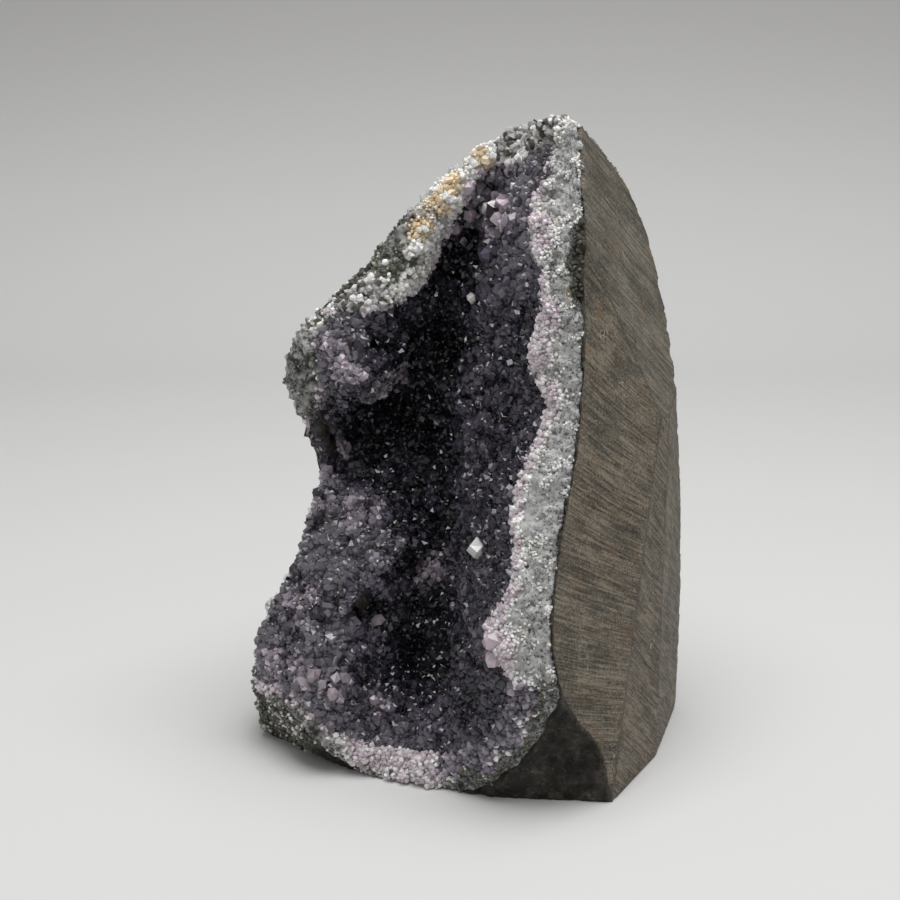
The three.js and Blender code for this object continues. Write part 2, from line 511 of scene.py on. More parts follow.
class Nodes:
    """A short way to lay out one material's nodes."""

    def __init__(self, name: str) -> None:
        """Starts a material with one Principled shader.

        Args:
            name: The material's name.
        """
        self.material = bpy.data.materials.new(name)
        self.material.use_nodes = True
        self.tree = self.material.node_tree
        self.shader = self.tree.nodes["Principled BSDF"]
        self.object_place = self.add("ShaderNodeTexCoord").outputs["Object"]

    def add(self, kind: str, **settings: object) -> bpy.types.Node:
        """Adds a node and sets its properties.

        Args:
            kind: The node's type.
            settings: Its properties by name.

        Returns:
            The node.
        """
        node = self.tree.nodes.new(kind)
        for name, value in settings.items():
            setattr(node, name, value)
        return node

    def link(self, source: Socket, target: Socket) -> None:
        """Joins two sockets."""
        self.tree.links.new(source, target)

    def feed(self, socket: Socket, value: object) -> None:
        """Sets an input to a number or a colour, or links it to an output.

        Args:
            socket: The input.
            value: The number, colour or output.
        """
        if isinstance(value, Socket):
            self.link(value, socket)
        else:
            socket.default_value = value

    def attribute(self, name: str, output: str = "Fac") -> Socket:
        """An attribute of the mesh."""
        return self.add("ShaderNodeAttribute", attribute_name=name).outputs[output]

    def noise(self, size: float, detail: float = 3.0, place: Socket | None = None,
              stretch: tuple[float, float, float] = (1.0, 1.0, 1.0), shift: float = 0.0,
              rough: float = 0.55) -> Socket:
        """Noise with lumps of this size.

        Args:
            size: The lumps' width.
            detail: How many finer layers it has.
            place: The coordinates it reads, the object's own by default.
            stretch: How much denser it is along each axis.
            shift: Moves the pattern, so that two don't match.
            rough: How strong the finer layers are.

        Returns:
            A value from 0 to 1.
        """
        mapping = self.add("ShaderNodeMapping")
        self.link(place or self.object_place, mapping.inputs["Vector"])
        mapping.inputs["Scale"].default_value = tuple(dense / size for dense in stretch)
        mapping.inputs["Location"].default_value = (shift, 2 * shift, -shift)
        texture = self.add("ShaderNodeTexNoise")
        self.link(mapping.outputs["Vector"], texture.inputs["Vector"])
        texture.inputs["Scale"].default_value = 1.0
        texture.inputs["Detail"].default_value = detail
        texture.inputs["Roughness"].default_value = rough
        return texture.outputs["Fac"]

    def cells(self, size: float) -> Socket:
        """Distance from the middle of Voronoi cells.

        Args:
            size: The cells' width.

        Returns:
            The distance, in cells.
        """
        mapping = self.add("ShaderNodeMapping")
        self.link(self.object_place, mapping.inputs["Vector"])
        mapping.inputs["Scale"].default_value = (1.0 / size,) * 3
        texture = self.add("ShaderNodeTexVoronoi")
        self.link(mapping.outputs["Vector"], texture.inputs["Vector"])
        texture.inputs["Scale"].default_value = 1.0
        return texture.outputs["Distance"]

    def band(self, value: object, low: float, high: float, to_low: float = 0.0,
             to_high: float = 1.0) -> Socket:
        """Maps a value smoothly from one range to another, held at both ends.

        Args:
            value: The value to map.
            low: Where the range starts.
            high: Where it ends.
            to_low: The result at and below low.
            to_high: The result at and above high.

        Returns:
            The result.
        """
        node = self.add("ShaderNodeMapRange", interpolation_type="SMOOTHSTEP")
        self.feed(node.inputs["Value"], value)
        for name, number in (("From Min", low), ("From Max", high), ("To Min", to_low), ("To Max", to_high)):
            node.inputs[name].default_value = number
        return node.outputs["Result"]

    def maths(self, operation: str, a: object, b: object = 0.0) -> Socket:
        """One sum on two numbers.

        Args:
            operation: The sum's name.
            a: The first number.
            b: The second number.

        Returns:
            The result.
        """
        node = self.add("ShaderNodeMath", operation=operation)
        self.feed(node.inputs[0], a)
        self.feed(node.inputs[1], b)
        return node.outputs[0]

    def times(self, a: object, b: object) -> Socket:
        """The product of two numbers."""
        return self.maths("MULTIPLY", a, b)

    def plus(self, a: object, b: object) -> Socket:
        """The sum of two numbers."""
        return self.maths("ADD", a, b)

    def off_middle(self, value: object) -> Socket:
        """How far a value is from a half."""
        return self.maths("ABSOLUTE", self.maths("SUBTRACT", value, 0.5))

    def mix(self, share: object, a: object, b: object, way: str = "MIX") -> Socket:
        """Mixes two colours.

        Args:
            share: How much of the second shows.
            a: The first colour.
            b: The second colour.
            way: How they blend.

        Returns:
            The mixed colour.
        """
        node = self.add("ShaderNodeMix", data_type="RGBA", blend_type=way)
        self.feed(node.inputs["Factor"], share)
        self.feed(node.inputs["A"], a)
        self.feed(node.inputs["B"], b)
        return node.outputs["Result"]

    def ramp(self, value: object, *stops: tuple[float, tuple]) -> Socket:
        """A colour ramp.

        Args:
            value: The place on the ramp, from 0 to 1.
            stops: Places on it with their colours.

        Returns:
            The colour.
        """
        node = self.add("ShaderNodeValToRGB")
        self.feed(node.inputs["Fac"], value)
        elements = node.color_ramp.elements
        while len(elements) < len(stops):
            elements.new(0.5)
        for element, (at, colour) in zip(elements, stops):
            element.position = float(at)
            element.color = (*colour, 1.0)
        return node.outputs["Color"]

    def bump(self, height: object, distance: float,
             under: Socket | None = None) -> Socket:
        """Bumps the surface.

        Args:
            height: The height, from 0 to 1.
            distance: How high 1 stands.
            under: An earlier bump that this one lies on.

        Returns:
            The bumped normal.
        """
        node = self.add("ShaderNodeBump")
        self.feed(node.inputs["Height"], height)
        node.inputs["Distance"].default_value = distance
        if under:
            self.link(under, node.inputs["Normal"])
        return node.outputs["Normal"]

    def finish(self, colour: object, roughness: object, normal: Socket | None,
               **sockets: float) -> Material:
        """Joins everything to the shader.

        Args:
            colour: The base colour.
            roughness: The roughness.
            normal: The bumped normal.
            sockets: Other sockets of the shader, with spaces as underscores.

        Returns:
            The material.
        """
        self.feed(self.shader.inputs["Base Color"], colour)
        self.feed(self.shader.inputs["Roughness"], roughness)
        if normal:
            self.link(normal, self.shader.inputs["Normal"])
        for name, value in sockets.items():
            self.shader.inputs[name.replace("_", " ")].default_value = value
        return self.material


@dataclass(frozen=True)
class Basalt:
    """Brown-grey sawn basalt, dark where it is broken and green-grey under the old crust, with painted
    highlights on the break and small dark pits of painted shade on the sawn faces.
    """

    sawn: tuple = ((0.04, 0.034, 0.026), (0.135, 0.113, 0.083), (0.285, 0.245, 0.185))
    cool: tuple = ((0.045, 0.042, 0.033), (0.12, 0.109, 0.084), (0.24, 0.222, 0.18))
    broken: tuple = ((0.006, 0.0055, 0.005), (0.03, 0.025, 0.02), (0.1, 0.082, 0.062))
    crust: tuple = ((0.022, 0.025, 0.02), (0.12, 0.12, 0.092), (0.42, 0.41, 0.34))
    seam_line: tuple = (0.012, 0.013, 0.013)
    seam_glass: tuple = (0.2, 0.21, 0.205)
    teal: tuple = (0.06, 0.068, 0.064)
    rust: tuple = (0.2, 0.115, 0.055)
    fleck: tuple = (0.42, 0.38, 0.3)
    scratched: tuple = (0.5, 0.46, 0.38)
    # Colour of the small pits, a painted shade.
    pit: tuple = (0.02, 0.02, 0.018)
    painted_glints: tuple = (0.2, 0.18, 0.14)

    def sawn_colour(self, n: Nodes, lines: Socket) -> Socket:
        """The sawn faces' colour: streaked by the saw, mottled, stained with rust and speckled, with small
        dark pits painted as shade.

        Args:
            n: The material's nodes.
            lines: The saw marks' noise.

        Returns:
            The colour.
        """
        grain = n.noise(0.42 * MM, 4.0, shift=7.0, rough=0.85)
        mottle = n.noise(8 * MM, 5.0, shift=2.0, rough=0.6)
        tone = n.plus(n.band(lines, 0.32, 0.68, 0.0, 0.5), n.band(grain, 0.35, 0.65, 0.0, 0.36))
        tone = n.plus(tone, n.band(mottle, 0.25, 0.75, 0.05, 0.25))
        warm = n.ramp(tone, (0.3, self.sawn[0]), (0.57, self.sawn[1]), (0.84, self.sawn[2]))
        cool = n.ramp(tone, (0.3, self.cool[0]), (0.57, self.cool[1]), (0.84, self.cool[2]))
        face = n.mix(n.attribute("warmth"), cool, warm)
        teal = n.times(n.band(n.noise(4 * MM, 5.0, shift=31.0), 0.58, 0.7), 0.5)
        face = n.mix(teal, face, (*self.teal, 1))
        rust = n.times(n.band(n.noise(5 * MM, 5.0, shift=53.0, rough=0.7), 0.55, 0.7), 0.5)
        face = n.mix(rust, face, (*self.rust, 1))
        specks = n.band(n.noise(0.6 * MM, 2.0, shift=71.0), 0.67, 0.74)
        face = n.mix(n.times(specks, 0.55), face, (*self.fleck, 1))
        curl = n.off_middle(n.noise(3.2 * MM, 1.0, shift=83.0))
        rare = n.band(n.noise(6 * MM, 2.0, shift=97.0), 0.6, 0.66)
        scratch = n.times(n.band(curl, 0.003, 0.009, 1.0, 0.0), rare)
        face = n.mix(n.times(scratch, 0.7), face, (*self.scratched, 1))
        # Painted shade: small dark spots stand in for the shade inside pits that the surface doesn't have.
        pits = n.band(n.noise(0.7 * MM, 2.0, shift=91.0), 0.64, 0.72)
        return n.mix(n.times(pits, 0.8), face, (*self.pit, 1))

    def material(self) -> Material:
        """Builds the material.

        Returns:
            The material.
        """
        n = Nodes("basalt")
        marks = n.attribute("marks", "Vector")
        sawn = n.attribute("sawn")
        lines = n.noise(0.42 * MM, 4.0, marks, (1.0, 0.035, 1.0), rough=0.75)
        wide_lines = n.noise(2.8 * MM, 2.0, marks, (1.0, 0.05, 1.0), 3.0)
        face = self.sawn_colour(n, n.plus(n.times(lines, 0.84),
                                           n.times(wide_lines, 0.16)))
        lumps = n.noise(2.2 * MM, 6.0, shift=11.0, rough=0.68)
        broken = n.ramp(lumps, (0.38, self.broken[0]), (0.54, self.broken[1]), (0.68, self.broken[2]))
        # Painted highlights: bright specks in the broken rock's colour stand in for sparkles of the lamp.
        painted_glints = n.band(n.noise(0.45 * MM, 1.0, shift=5.0), 0.68, 0.76)
        broken = n.mix(n.times(painted_glints, 0.7), broken, (*self.painted_glints, 1))
        scab = n.plus(n.times(lumps, 0.55),
                       n.times(n.noise(0.9 * MM, 4.0, shift=37.0, rough=0.8), 0.45))
        crust = n.ramp(scab, (0.4, self.crust[0]), (0.52, self.crust[1]), (0.66, self.crust[2]))
        colour = n.mix(n.attribute("crust"), broken, crust)
        seam = n.attribute("seam")
        glass = n.band(n.off_middle(seam), 0.12, 0.26, 1.0, 0.0)
        vein = n.mix(glass, (*self.seam_line, 1), (*self.seam_glass, 1))
        colour = n.mix(n.times(n.band(seam, 0.02, 0.12), n.attribute("strip")), colour, vein)
        colour = n.mix(sawn, colour, face)

        flat_height = n.plus(n.times(lines, 0.8), n.times(wide_lines, 0.4))
        flat = n.bump(n.times(flat_height, sawn), 0.22 * MM)
        rough_side = n.times(lumps, n.maths("SUBTRACT", 1.0, sawn))
        normal = n.bump(rough_side, 2.0 * MM, under=flat)
        roughness = n.plus(n.times(sawn, 0.2), n.band(lumps, 0.3, 0.7, 0.36, 0.62))
        return n.finish(colour, roughness, normal, Specular_IOR_Level=0.4)


@dataclass(frozen=True)
class WhiteQuartz:
    """Sugary white quartz, speckled grey-green towards the rock and stained honey yellow in places."""

    body: tuple = ((0.58, 0.574, 0.558), (0.9, 0.892, 0.878), (0.98, 0.975, 0.965))
    speck: tuple = (0.045, 0.05, 0.043)
    honey: tuple = (0.46, 0.3, 0.14)
    blush: tuple = (0.44, 0.375, 0.42)
    green: tuple = (0.055, 0.06, 0.048)

    def material(self) -> Material:
        """Builds the material.

        Returns:
            The material.
        """
        n = Nodes("white_quartz")
        sugar = n.noise(0.55 * MM, 5.0, shift=4.0, rough=0.85)
        cloud = n.noise(3.5 * MM, 4.0, shift=9.0)
        tone = n.plus(n.times(sugar, 0.6), n.times(cloud, 0.4))
        colour = n.ramp(tone, (0.39, self.body[0]), (0.46, self.body[1]), (0.53, self.body[2]))
        colour = n.mix(n.times(n.attribute("blush"), 0.75), colour, (*self.blush, 1))
        patchy = n.band(n.noise(1.6 * MM, 4.0, shift=41.0, rough=0.7), 0.32, 0.52)
        colour = n.mix(n.times(n.attribute("honey"), patchy), colour, (*self.honey, 1))
        edge = n.attribute("rind")
        near_rock = n.band(edge, 0.2 * MM, 4.6 * MM, 1.0, 0.0)
        near_rock = n.maths("MAXIMUM", near_rock, n.times(n.attribute("strip"), 0.55))
        mossy = n.maths("MAXIMUM", near_rock, n.attribute("green"))
        fine = n.noise(0.6 * MM, 5.0, shift=23.0, rough=0.85)
        specks = n.band(n.plus(fine, n.times(mossy, 0.15)), 0.6, 0.67)
        colour = n.mix(n.times(specks, n.band(mossy, 0.05, 0.5, 0.1, 0.9)), colour, (*self.speck, 1))
        colour = n.mix(n.times(n.attribute("green"), n.band(cloud, 0.42, 0.56, 0.4, 0.95)), colour,
                       (*self.green, 1))
        height = n.plus(sugar, n.times(fine, 0.6))
        normal = n.bump(height, 1.1 * MM)
        n.shader.inputs["Subsurface Radius"].default_value = (1.0, 0.95, 0.9)
        return n.finish(colour, n.band(sugar, 0.3, 0.7, 0.42, 0.62), normal, Specular_IOR_Level=0.4,
                        Subsurface_Weight=0.3, Subsurface_Scale=0.6 * MM)


@dataclass(frozen=True)
class CrystalGlass:
    """Glossy crystal faces whose colour chart is read from each face's place on it."""

    chart: tuple = (
        (Hue.DEEP, (0.013, 0.0115, 0.0175)),
        (Hue.VIOLET, (0.055, 0.047, 0.069)),
        (Hue.SMOKY, (0.094, 0.088, 0.1)),
        (Hue.LILAC, (0.205, 0.178, 0.213)),
        (Hue.PINK, (0.38, 0.315, 0.35)),
        (Hue.MILK, (0.64, 0.635, 0.62)),
        (Hue.HONEY, (0.47, 0.34, 0.19)),
        (Hue.MOSS, (0.085, 0.09, 0.07)),
    )
    gloss: float = 0.13
    glow: float = 0.3
    brightest: float = 1.7
    darkest: float = 0.16

    def material(self, name: str) -> Material:
        """Builds the material.

        Args:
            name: The material's name.

        Returns:
            The material.
        """
        n = Nodes(name)
        place = n.add("ShaderNodeUVMap", uv_map=CHART_MAP).outputs["UV"]
        split = n.add("ShaderNodeSeparateXYZ")
        n.link(place, split.inputs["Vector"])
        hue = n.ramp(split.outputs["X"], *self.chart)
        value = n.add("ShaderNodeMapRange")
        n.link(split.outputs["Y"], value.inputs["Value"])
        value.inputs["To Min"].default_value = self.darkest
        value.inputs["To Max"].default_value = self.brightest
        grey = n.add("ShaderNodeCombineXYZ")
        for axis in "XYZ":
            n.link(value.outputs["Result"], grey.inputs[axis])
        colour = n.mix(1.0, hue, grey.outputs["Vector"], "MULTIPLY")
        n.shader.inputs["Subsurface Radius"].default_value = (1.0, 0.85, 1.0)
        return n.finish(colour, self.gloss, None, IOR=QUARTZ_IOR, Specular_IOR_Level=0.55,
                        Subsurface_Weight=self.glow, Subsurface_Scale=0.8 * MM)


@dataclass(frozen=True)
class DarkBed:
    """The purple-grey ground between the crystals."""

    tones: tuple = ((0.016, 0.012, 0.022), (0.06, 0.05, 0.07))

    def material(self) -> Material:
        """Builds the material.

        Returns:
            The material.
        """
        n = Nodes("druse_bed")
        grain = n.noise(1.1 * MM, 4.0, shift=13.0)
        colour = n.ramp(grain, (0.35, self.tones[0]), (0.65, self.tones[1]))
        return n.finish(colour, 0.35, n.bump(n.cells(0.9 * MM), 0.5 * MM), IOR=QUARTZ_IOR)


# Spots where the stone differs from place to place


@dataclass(frozen=True)
class Spot:
    """A round stretch of the stone with a look of its own, in millimetres."""

    x: float
    y: float
    z: float
    radius: float

    def share(self, where: Array, soft: float = 0.45) -> Array:
        """How much each place belongs to the spot: 1 inside it, fading to 0 past its edge."""
        far = np.linalg.norm(where - np.array((self.x, self.y, self.z)) * MM, axis=1) / (self.radius * MM)
        return 1.0 - step(1.0 - soft, 1.0 + soft, far)


def spots(*rows: tuple[float, float, float, float]) -> tuple[Spot, ...]:
    """Spots from rows of x, y, z and radius."""
    return tuple(Spot(*row) for row in rows)


def share_of(group: tuple[Spot, ...], where: Array, soft: float = 0.45) -> Array:
    """The largest share that any spot of a group has at each place."""
    return np.max([spot.share(where, soft) for spot in group], axis=0)


# Yellow stains on the rind.
HONEY_STAINS = spots(
    (-2.5, 0, 105, 2.6), (-7, -4, 97, 2.8), (-5, -2, 101, 2.4), (1.5, 4, 109.7, 2), (27, -10, 98, 1.4),
    (25.5, -12, 89, 1),
)
# Old crust that creeps over the rind.
GREEN_CRUST = spots(
    (-14, -6, 92, 6), (-19, -8.7, 87, 5), (-11, -3, 97, 3.5), (-26.5, -14.5, 72, 8), (-26, -13, 64, 5),
)
# Bare rock under the lobe.
FOOT_ROCK = spots((-27, -25, 4, 6.5), (-21, -26, 2, 4), (-22, -29, 10, 6), (-15, -31.5, 9, 4))
# Dark specks where the rind meets the break.
FOOT_SPECKLE = spots(
    (30, -29.5, 22, 3.5), (29.5, -29, 17, 4), (26, -29, 11, 4), (21, -29, 6.5, 4), (15.5, -28.5, 2.5, 4),
)
# Violet grains at the foot of the rind.
FOOT_VIOLET = spots((24, -31.5, 21.5, 4), (21.5, -31, 14.5, 4), (16.5, -29.5, 9, 4), (10, -28, 6, 3))
# Pink swellings of the rind.
BLUSHES = spots(
    (20.5, -12, 84.5, 3.5), (20.5, -13, 79, 3), (22.5, -14, 70, 3.5), (17.5, -7, 97, 4), (21, -32, 31, 3.6),
    (-0.5, -27, 3, 4.5), (-6, -28, 4, 4), (6, -27.5, 3, 3.5),
)
# Mauve crests of the druse.
PINK_CRESTS = spots(
    (-18.8, -17, 76, 3), (-13.7, -19, 71.7, 3), (-10.3, -14, 68.4, 3), (-11, -2, 69, 3),
    (-16, -18.5, 72, 4.5), (-11, -9, 67, 5), (-11.5, 2, 68, 3.5), (-24.5, -12, 57, 6), (-24, -14, 48, 5),
    (-5.5, -18, 41, 4), (-14, -15.5, 46, 4.5), (-3.3, -8, 33.6, 4),
)
# Pale crests of the druse.
PALE_CRESTS = spots(
    (-12.5, -30.5, 16.5, 3.5), (-6.6, -24.3, 13, 3), (-21, -29.5, 15.5, 4.5), (-22.5, -23.5, 29, 5),
    (-25, -27, 17, 6), (7, 1, 100, 5), (0, 4, 101, 4), (4, 4, 108, 5),
)
# Nearly white crests below the peak.
ICY_CRESTS = spots((2, 4.5, 110, 4.5), (6.5, 5.5, 111, 4), (-1.5, 2.5, 105.5, 3.5), (1.5, 2.5, 101, 3))
# The crack in the rind: sunk into it, with its grains and crystals painted dark as painted shade.
CRACK = spots((14.5, 3, 112.3, 2.6), (14.5, 2, 110.5, 2.2), (16.4, -0.5, 107, 2), (17.4, -3, 104, 1.7))
# Coarse grey top of the lump.
LUMP_TOP = spots((-12.4, -13, 83, 5.5), (-17, -11, 84, 4.5), (-21, -12, 78, 4))
# Grey peak.
APEX = spots((13, 5, 115, 5), (7.5, 7.5, 112.5, 5))
# Coarse tufts along the rim.
RIM_TUFTS = spots(
    (-8, -7, 89.5, 4.5), (-5.5, -3.5, 95, 3.5), (-2, 0.5, 103, 4), (3, 4.5, 109.5, 4), (-14, -10, 87, 3.5),
)
# Where the crystals are stout.
STOUT_CRYSTALS = spots(
    (4, 1, 98, 9), (8, -2, 88, 7), (-11, -12, 80, 6), (-9, -24, 28, 4), (-15, -30, 17, 5),
)
# Deep pits of the hollow: sunk into the skin, with their crystals painted dark as painted shade.
VOIDS = spots(
    (-10.5, -13, 77.5, 2.4), (-13, 2, 58, 9), (-17, -3, 61, 5), (-9, 5, 72, 6), (-5, 3, 92, 5),
    (0, -14, 18, 6), (1, -12, 27, 5), (-8.5, -22.5, 29.5, 3.2),
)
# Fresh break in the rock.
DARK_BREAK = spots((30, -24.6, 6, 13), (20, -24, 1, 10))
# Wedge of dark rock beside the rind.
DARK_WEDGE = spots((26.3, -9.2, 98.5, 2.6), (27.2, -10.2, 94.5, 3.2), (28, -11.5, 90, 2.6))


# Rock, rind and bed


def beside_saw(piece: Piece) -> Array:
    """How much each point lies in the narrow strip between the rind and the sawn side, from 0 to 1.

    Args:
        piece: The skin's copy.

    Returns:
        One share for each vertex.
    """
    where = places(piece)
    side = SAWN_FACES[0].outward()
    reach = float(np.percentile(where @ side, 99.8))
    strip = 1.0 - step(3.5 * MM, 6.0 * MM, reach - where @ side)
    upper = SAWN_FACES[3].outward()
    top = float(np.percentile(where @ upper, 99.8))
    strip = np.maximum(strip, 1.0 - step(3.5 * MM, 6.0 * MM, top - where @ upper))
    return strip * step(17 * MM, 27 * MM, where[:, 2]) * (1.0 - share_of(DARK_WEDGE, where, 0.3))


@dataclass
class HostRock:
    """The basalt: the whole skin, sunk where the rind covers it and roughened where it isn't sawn."""

    skin: Piece
    sink: float = 2.6 * MM
    coarse: float = 1.7 * MM
    hollows: float = 4.2 * MM
    fine: float = 0.6 * MM
    chip: float = 0.7 * MM
    outermost: float = 0.35 * MM
    seam_width: float = 5.5 * MM
    soil: "Soil" = field(init=False)

    def build(self) -> list[Piece]:
        """Shapes and dresses the rock.

        Returns:
            The pieces made.
        """
        rock = copy_of(self.skin, "basalt_body")
        rind, sawn = kept(rock, "rind"), kept(rock, "sawn")
        inner = blurred(rock, sawn, 4)
        where = places(rock)
        where = where + normals(rock) * self.relief(rock, where, inner)[:, None]
        stand(rock, where)
        behind = step(6 * MM, 16 * MM, where[:, 1])
        crust = np.maximum(share_of(GREEN_CRUST + FOOT_ROCK, where), 0.75 * behind)
        crust *= 1.0 - share_of(DARK_BREAK + DARK_WEDGE, where)
        keep(rock, "crust", np.clip(crust + 0.35 * wander(where, 4 * MM, 17.0, 2), 0, 1))
        keep(rock, "sawn", step(0.42, 0.58, inner + 0.22 * wander(where, 1.3 * MM, 44.0, 2)))
        ragged = rind + 0.5 * MM * wander(where, 3 * MM, 5.0)
        keep(rock, "seam", np.clip(1.0 + ragged / self.seam_width, 0, 1))
        keep(rock, "strip", beside_saw(rock))
        self.soil = Soil.of(rock)
        dress(rock, Basalt().material())
        return [rock]

    def relief(self, rock: Piece, where: Array, inner: Array) -> Array:
        """How far each point stands out from the skin, with lumps, hollows, chipped arrises and a sunk bed.

        Args:
            rock: The skin's copy.
            where: Its points.
            inner: How far each point is inside a sawn face, from 0 to 1.

        Returns:
            One height for each point.
        """
        beside = 2.4 * MM * beside_saw(rock) * (1.0 - step(0.05, 0.4, inner))
        covered = step(0.0, 1.4 * MM, kept(rock, "rind") + beside)
        rough = (1.0 - kept(rock, "sawn")) * (1.0 - covered) * step(0.0, 1.2 * MM, where[:, 2])
        lumps = wander(where, 7 * MM, 3.0, 3) * self.coarse + wander(where, 1.9 * MM, 8.0, 2) * self.fine
        hidden_side = step(2 * MM, 12 * MM, where[:, 1])
        lumps -= np.abs(wander(where, 15 * MM, 52.0, 3)) * self.hollows * hidden_side
        arris = np.clip(1.0 - np.abs(inner - 0.55) * 2.2, 0.0, 1.0)
        chips = np.maximum(wander(where, 2.2 * MM, 21.0, 2) - 0.05, 0.0) * self.chip * arris
        return np.minimum(lumps, self.outermost) * rough - covered * self.sink - chips


@dataclass
class QuartzRind:
    """The white quartz between the rock and the crystals, as one closed plate with a sugary face."""

    skin: Piece
    dive: float = 1.3 * MM
    tuck: float = 1.2 * MM
    grain: float = 0.55 * MM
    swell: float = 0.6 * MM
    lump: float = 0.7 * MM
    thickness: float = 0.8 * MM
    most_triangles: int = 185000
    soil: "Soil" = field(init=False)

    def build(self) -> list[Piece]:
        """Shapes and dresses the rind.

        Returns:
            The pieces made.
        """
        rind = copy_of(self.skin, "quartz_band")
        trim(rind, (kept(rind, "rind") > -3.6 * MM) & (kept(rind, "druse") < 2.2 * MM))
        apply(rind, "SUBSURF", levels=1, render_levels=1)
        where, facing = places(rind), normals(rind)
        inside = kept(rind, "rind") + 0.55 * MM * wander(where, 2.4 * MM, 5.0, 2)
        inside += 2.5 * MM * beside_saw(rind)
        inside -= 2.4 * MM * share_of(DARK_WEDGE, where, 0.3)
        under = kept(rind, "druse")
        where = where + facing * self.relief(rind, where, inside, under)[:, None]
        stand(rind, where)
        keep(rind, "rind", inside)
        keep(rind, "strip", beside_saw(rind))
        stain = share_of(HONEY_STAINS, where) * (1.1 + wander(where, 1.5 * MM, 9.0))
        keep(rind, "honey", np.clip(stain, 0, 1))
        blush = 0.8 * share_of(BLUSHES, where) + 0.5 * step(-2.0 * MM, 0.0, under)
        keep(rind, "blush", np.clip(blush, 0, 1))
        green = share_of(GREEN_CRUST + FOOT_ROCK + FOOT_SPECKLE, where)
        keep(rind, "green", np.clip(green * (0.7 + 1.1 * wander(where, 1.6 * MM, 12.0, 2)), 0, 1))
        self.soil = Soil.of(rind)
        apply(rind, "SOLIDIFY", thickness=self.thickness, offset=-1.0)
        apply(rind, "DECIMATE", ratio=self.most_triangles / (2 * len(rind.data.polygons)))
        stand(rind, places(rind))
        dress(rind, WhiteQuartz().material())
        return [rind]

    def relief(self, rind: Piece, where: Array, inside: Array,
               under: Array) -> Array:
        """How far each point stands out from the skin: sugary where open, tucked in at every edge.

        Args:
            rind: The trimmed copy of the skin.
            where: Its points.
            inside: How far each is from the rock's edge.
            under: How far each is under the druse.

        Returns:
            One height for each point.
        """
        near_saw = blurred(rind, kept(rind, "sawn"), 3)
        drop = self.dive * (1.0 - step(-0.8 * MM, 0.25 * MM, inside))
        drop += self.tuck * step(-0.2 * MM, 1.5 * MM, under)
        drop += self.tuck * step(0.1, 0.5, near_saw)
        open_face = (1.0 - step(0.02, 0.4, near_saw)) * step(0.2 * MM, 1.5 * MM, inside)
        open_face *= 1.0 - step(-0.2 * MM, 1.0 * MM, under)
        sugar = wander(where, 0.9 * MM, 2.0, 2) * self.grain + wander(where, 3.6 * MM, 6.0) * self.swell
        sugar += (np.abs(wander(where, 2.6 * MM, 31.0, 2)) * 2.4 - 0.6) * self.lump
        sugar += 0.6 * MM * share_of(BLUSHES, where) - 1.2 * MM * share_of(CRACK, where)
        return sugar * open_face - drop


@dataclass
class DruseBed:
    """The uneven ground that the crystals grow from."""

    skin: Piece
    sink: float = 0.85 * MM
    thickness: float = 1.2 * MM
    soil: "Soil" = field(init=False)

    def build(self) -> list[Piece]:
        """Shapes and dresses the bed.

        Returns:
            The pieces made.
        """
        bed = copy_of(self.skin, "druse_bed")
        trim(bed, kept(bed, "druse") > -0.9 * MM)
        where, facing = places(bed), normals(bed)
        inside = kept(bed, "druse")
        lumps = wander(where, 2.4 * MM, 29.0) * 0.4 * MM
        drop = self.sink + 1.1 * MM * (1.0 - step(-0.8 * MM, 0.5 * MM, inside))
        move_to(bed, where + facing * (lumps * step(0.0, 2.5 * MM, inside) - drop)[:, None])
        self.soil = Soil.of(bed)
        apply(bed, "SOLIDIFY", thickness=self.thickness, offset=-1.0)
        dress(bed, DarkBed().material())
        return [bed]


# Crystals


@dataclass
class Soil:
    """Where crystals can grow: triangles with their normals and fields."""

    corners: Array
    facing: Array
    fields: dict[str, Array]

    @staticmethod
    def of(piece: Piece) -> "Soil":
        """Reads the triangles of an open patch.

        Args:
            piece: The patch.

        Returns:
            The ground it gives.
        """
        mesh = piece.data
        mesh.calc_loop_triangles()
        index = read(mesh.loop_triangles, "vertices", 3)
        fields = {name: kept(piece, name)[index] for name in ("druse", "rind", "sky", "sawn", "crest")}
        return Soil(places(piece)[index], normals(piece)[index], fields)

    def sow(self, count: int, rng: Chance) -> "Seeds":
        """Scatters seeds evenly over the area.

        Args:
            count: How many seeds.
            rng: The source of chance.

        Returns:
            The seeds.
        """
        a, b, c = self.corners[:, 0], self.corners[:, 1], self.corners[:, 2]
        area = np.linalg.norm(np.cross(b - a, c - a), axis=1)
        chosen = rng.choice(len(area), count, p=area / area.sum())
        u, v = rng.random((2, count))
        flip = u + v > 1
        u[flip], v[flip] = 1 - u[flip], 1 - v[flip]
        weights = np.stack([1 - u - v, u, v], 1)
        where = (self.corners[chosen] * weights[:, :, None]).sum(1)
        facing = (self.facing[chosen] * weights[:, :, None]).sum(1)
        facing /= np.linalg.norm(facing, axis=1, keepdims=True)
        fields = {name: (values[chosen] * weights).sum(1) for name, values in self.fields.items()}
        return Seeds(where, facing, fields)


@dataclass
class Seeds:
    """Places where crystals may start."""

    where: Array
    facing: Array
    fields: dict[str, Array]

    def part(self, chosen: Array) -> "Seeds":
        """The seeds at these indices, or where this mask is true."""
        fields = {name: values[chosen] for name, values in self.fields.items()}
        return Seeds(self.where[chosen], self.facing[chosen], fields)


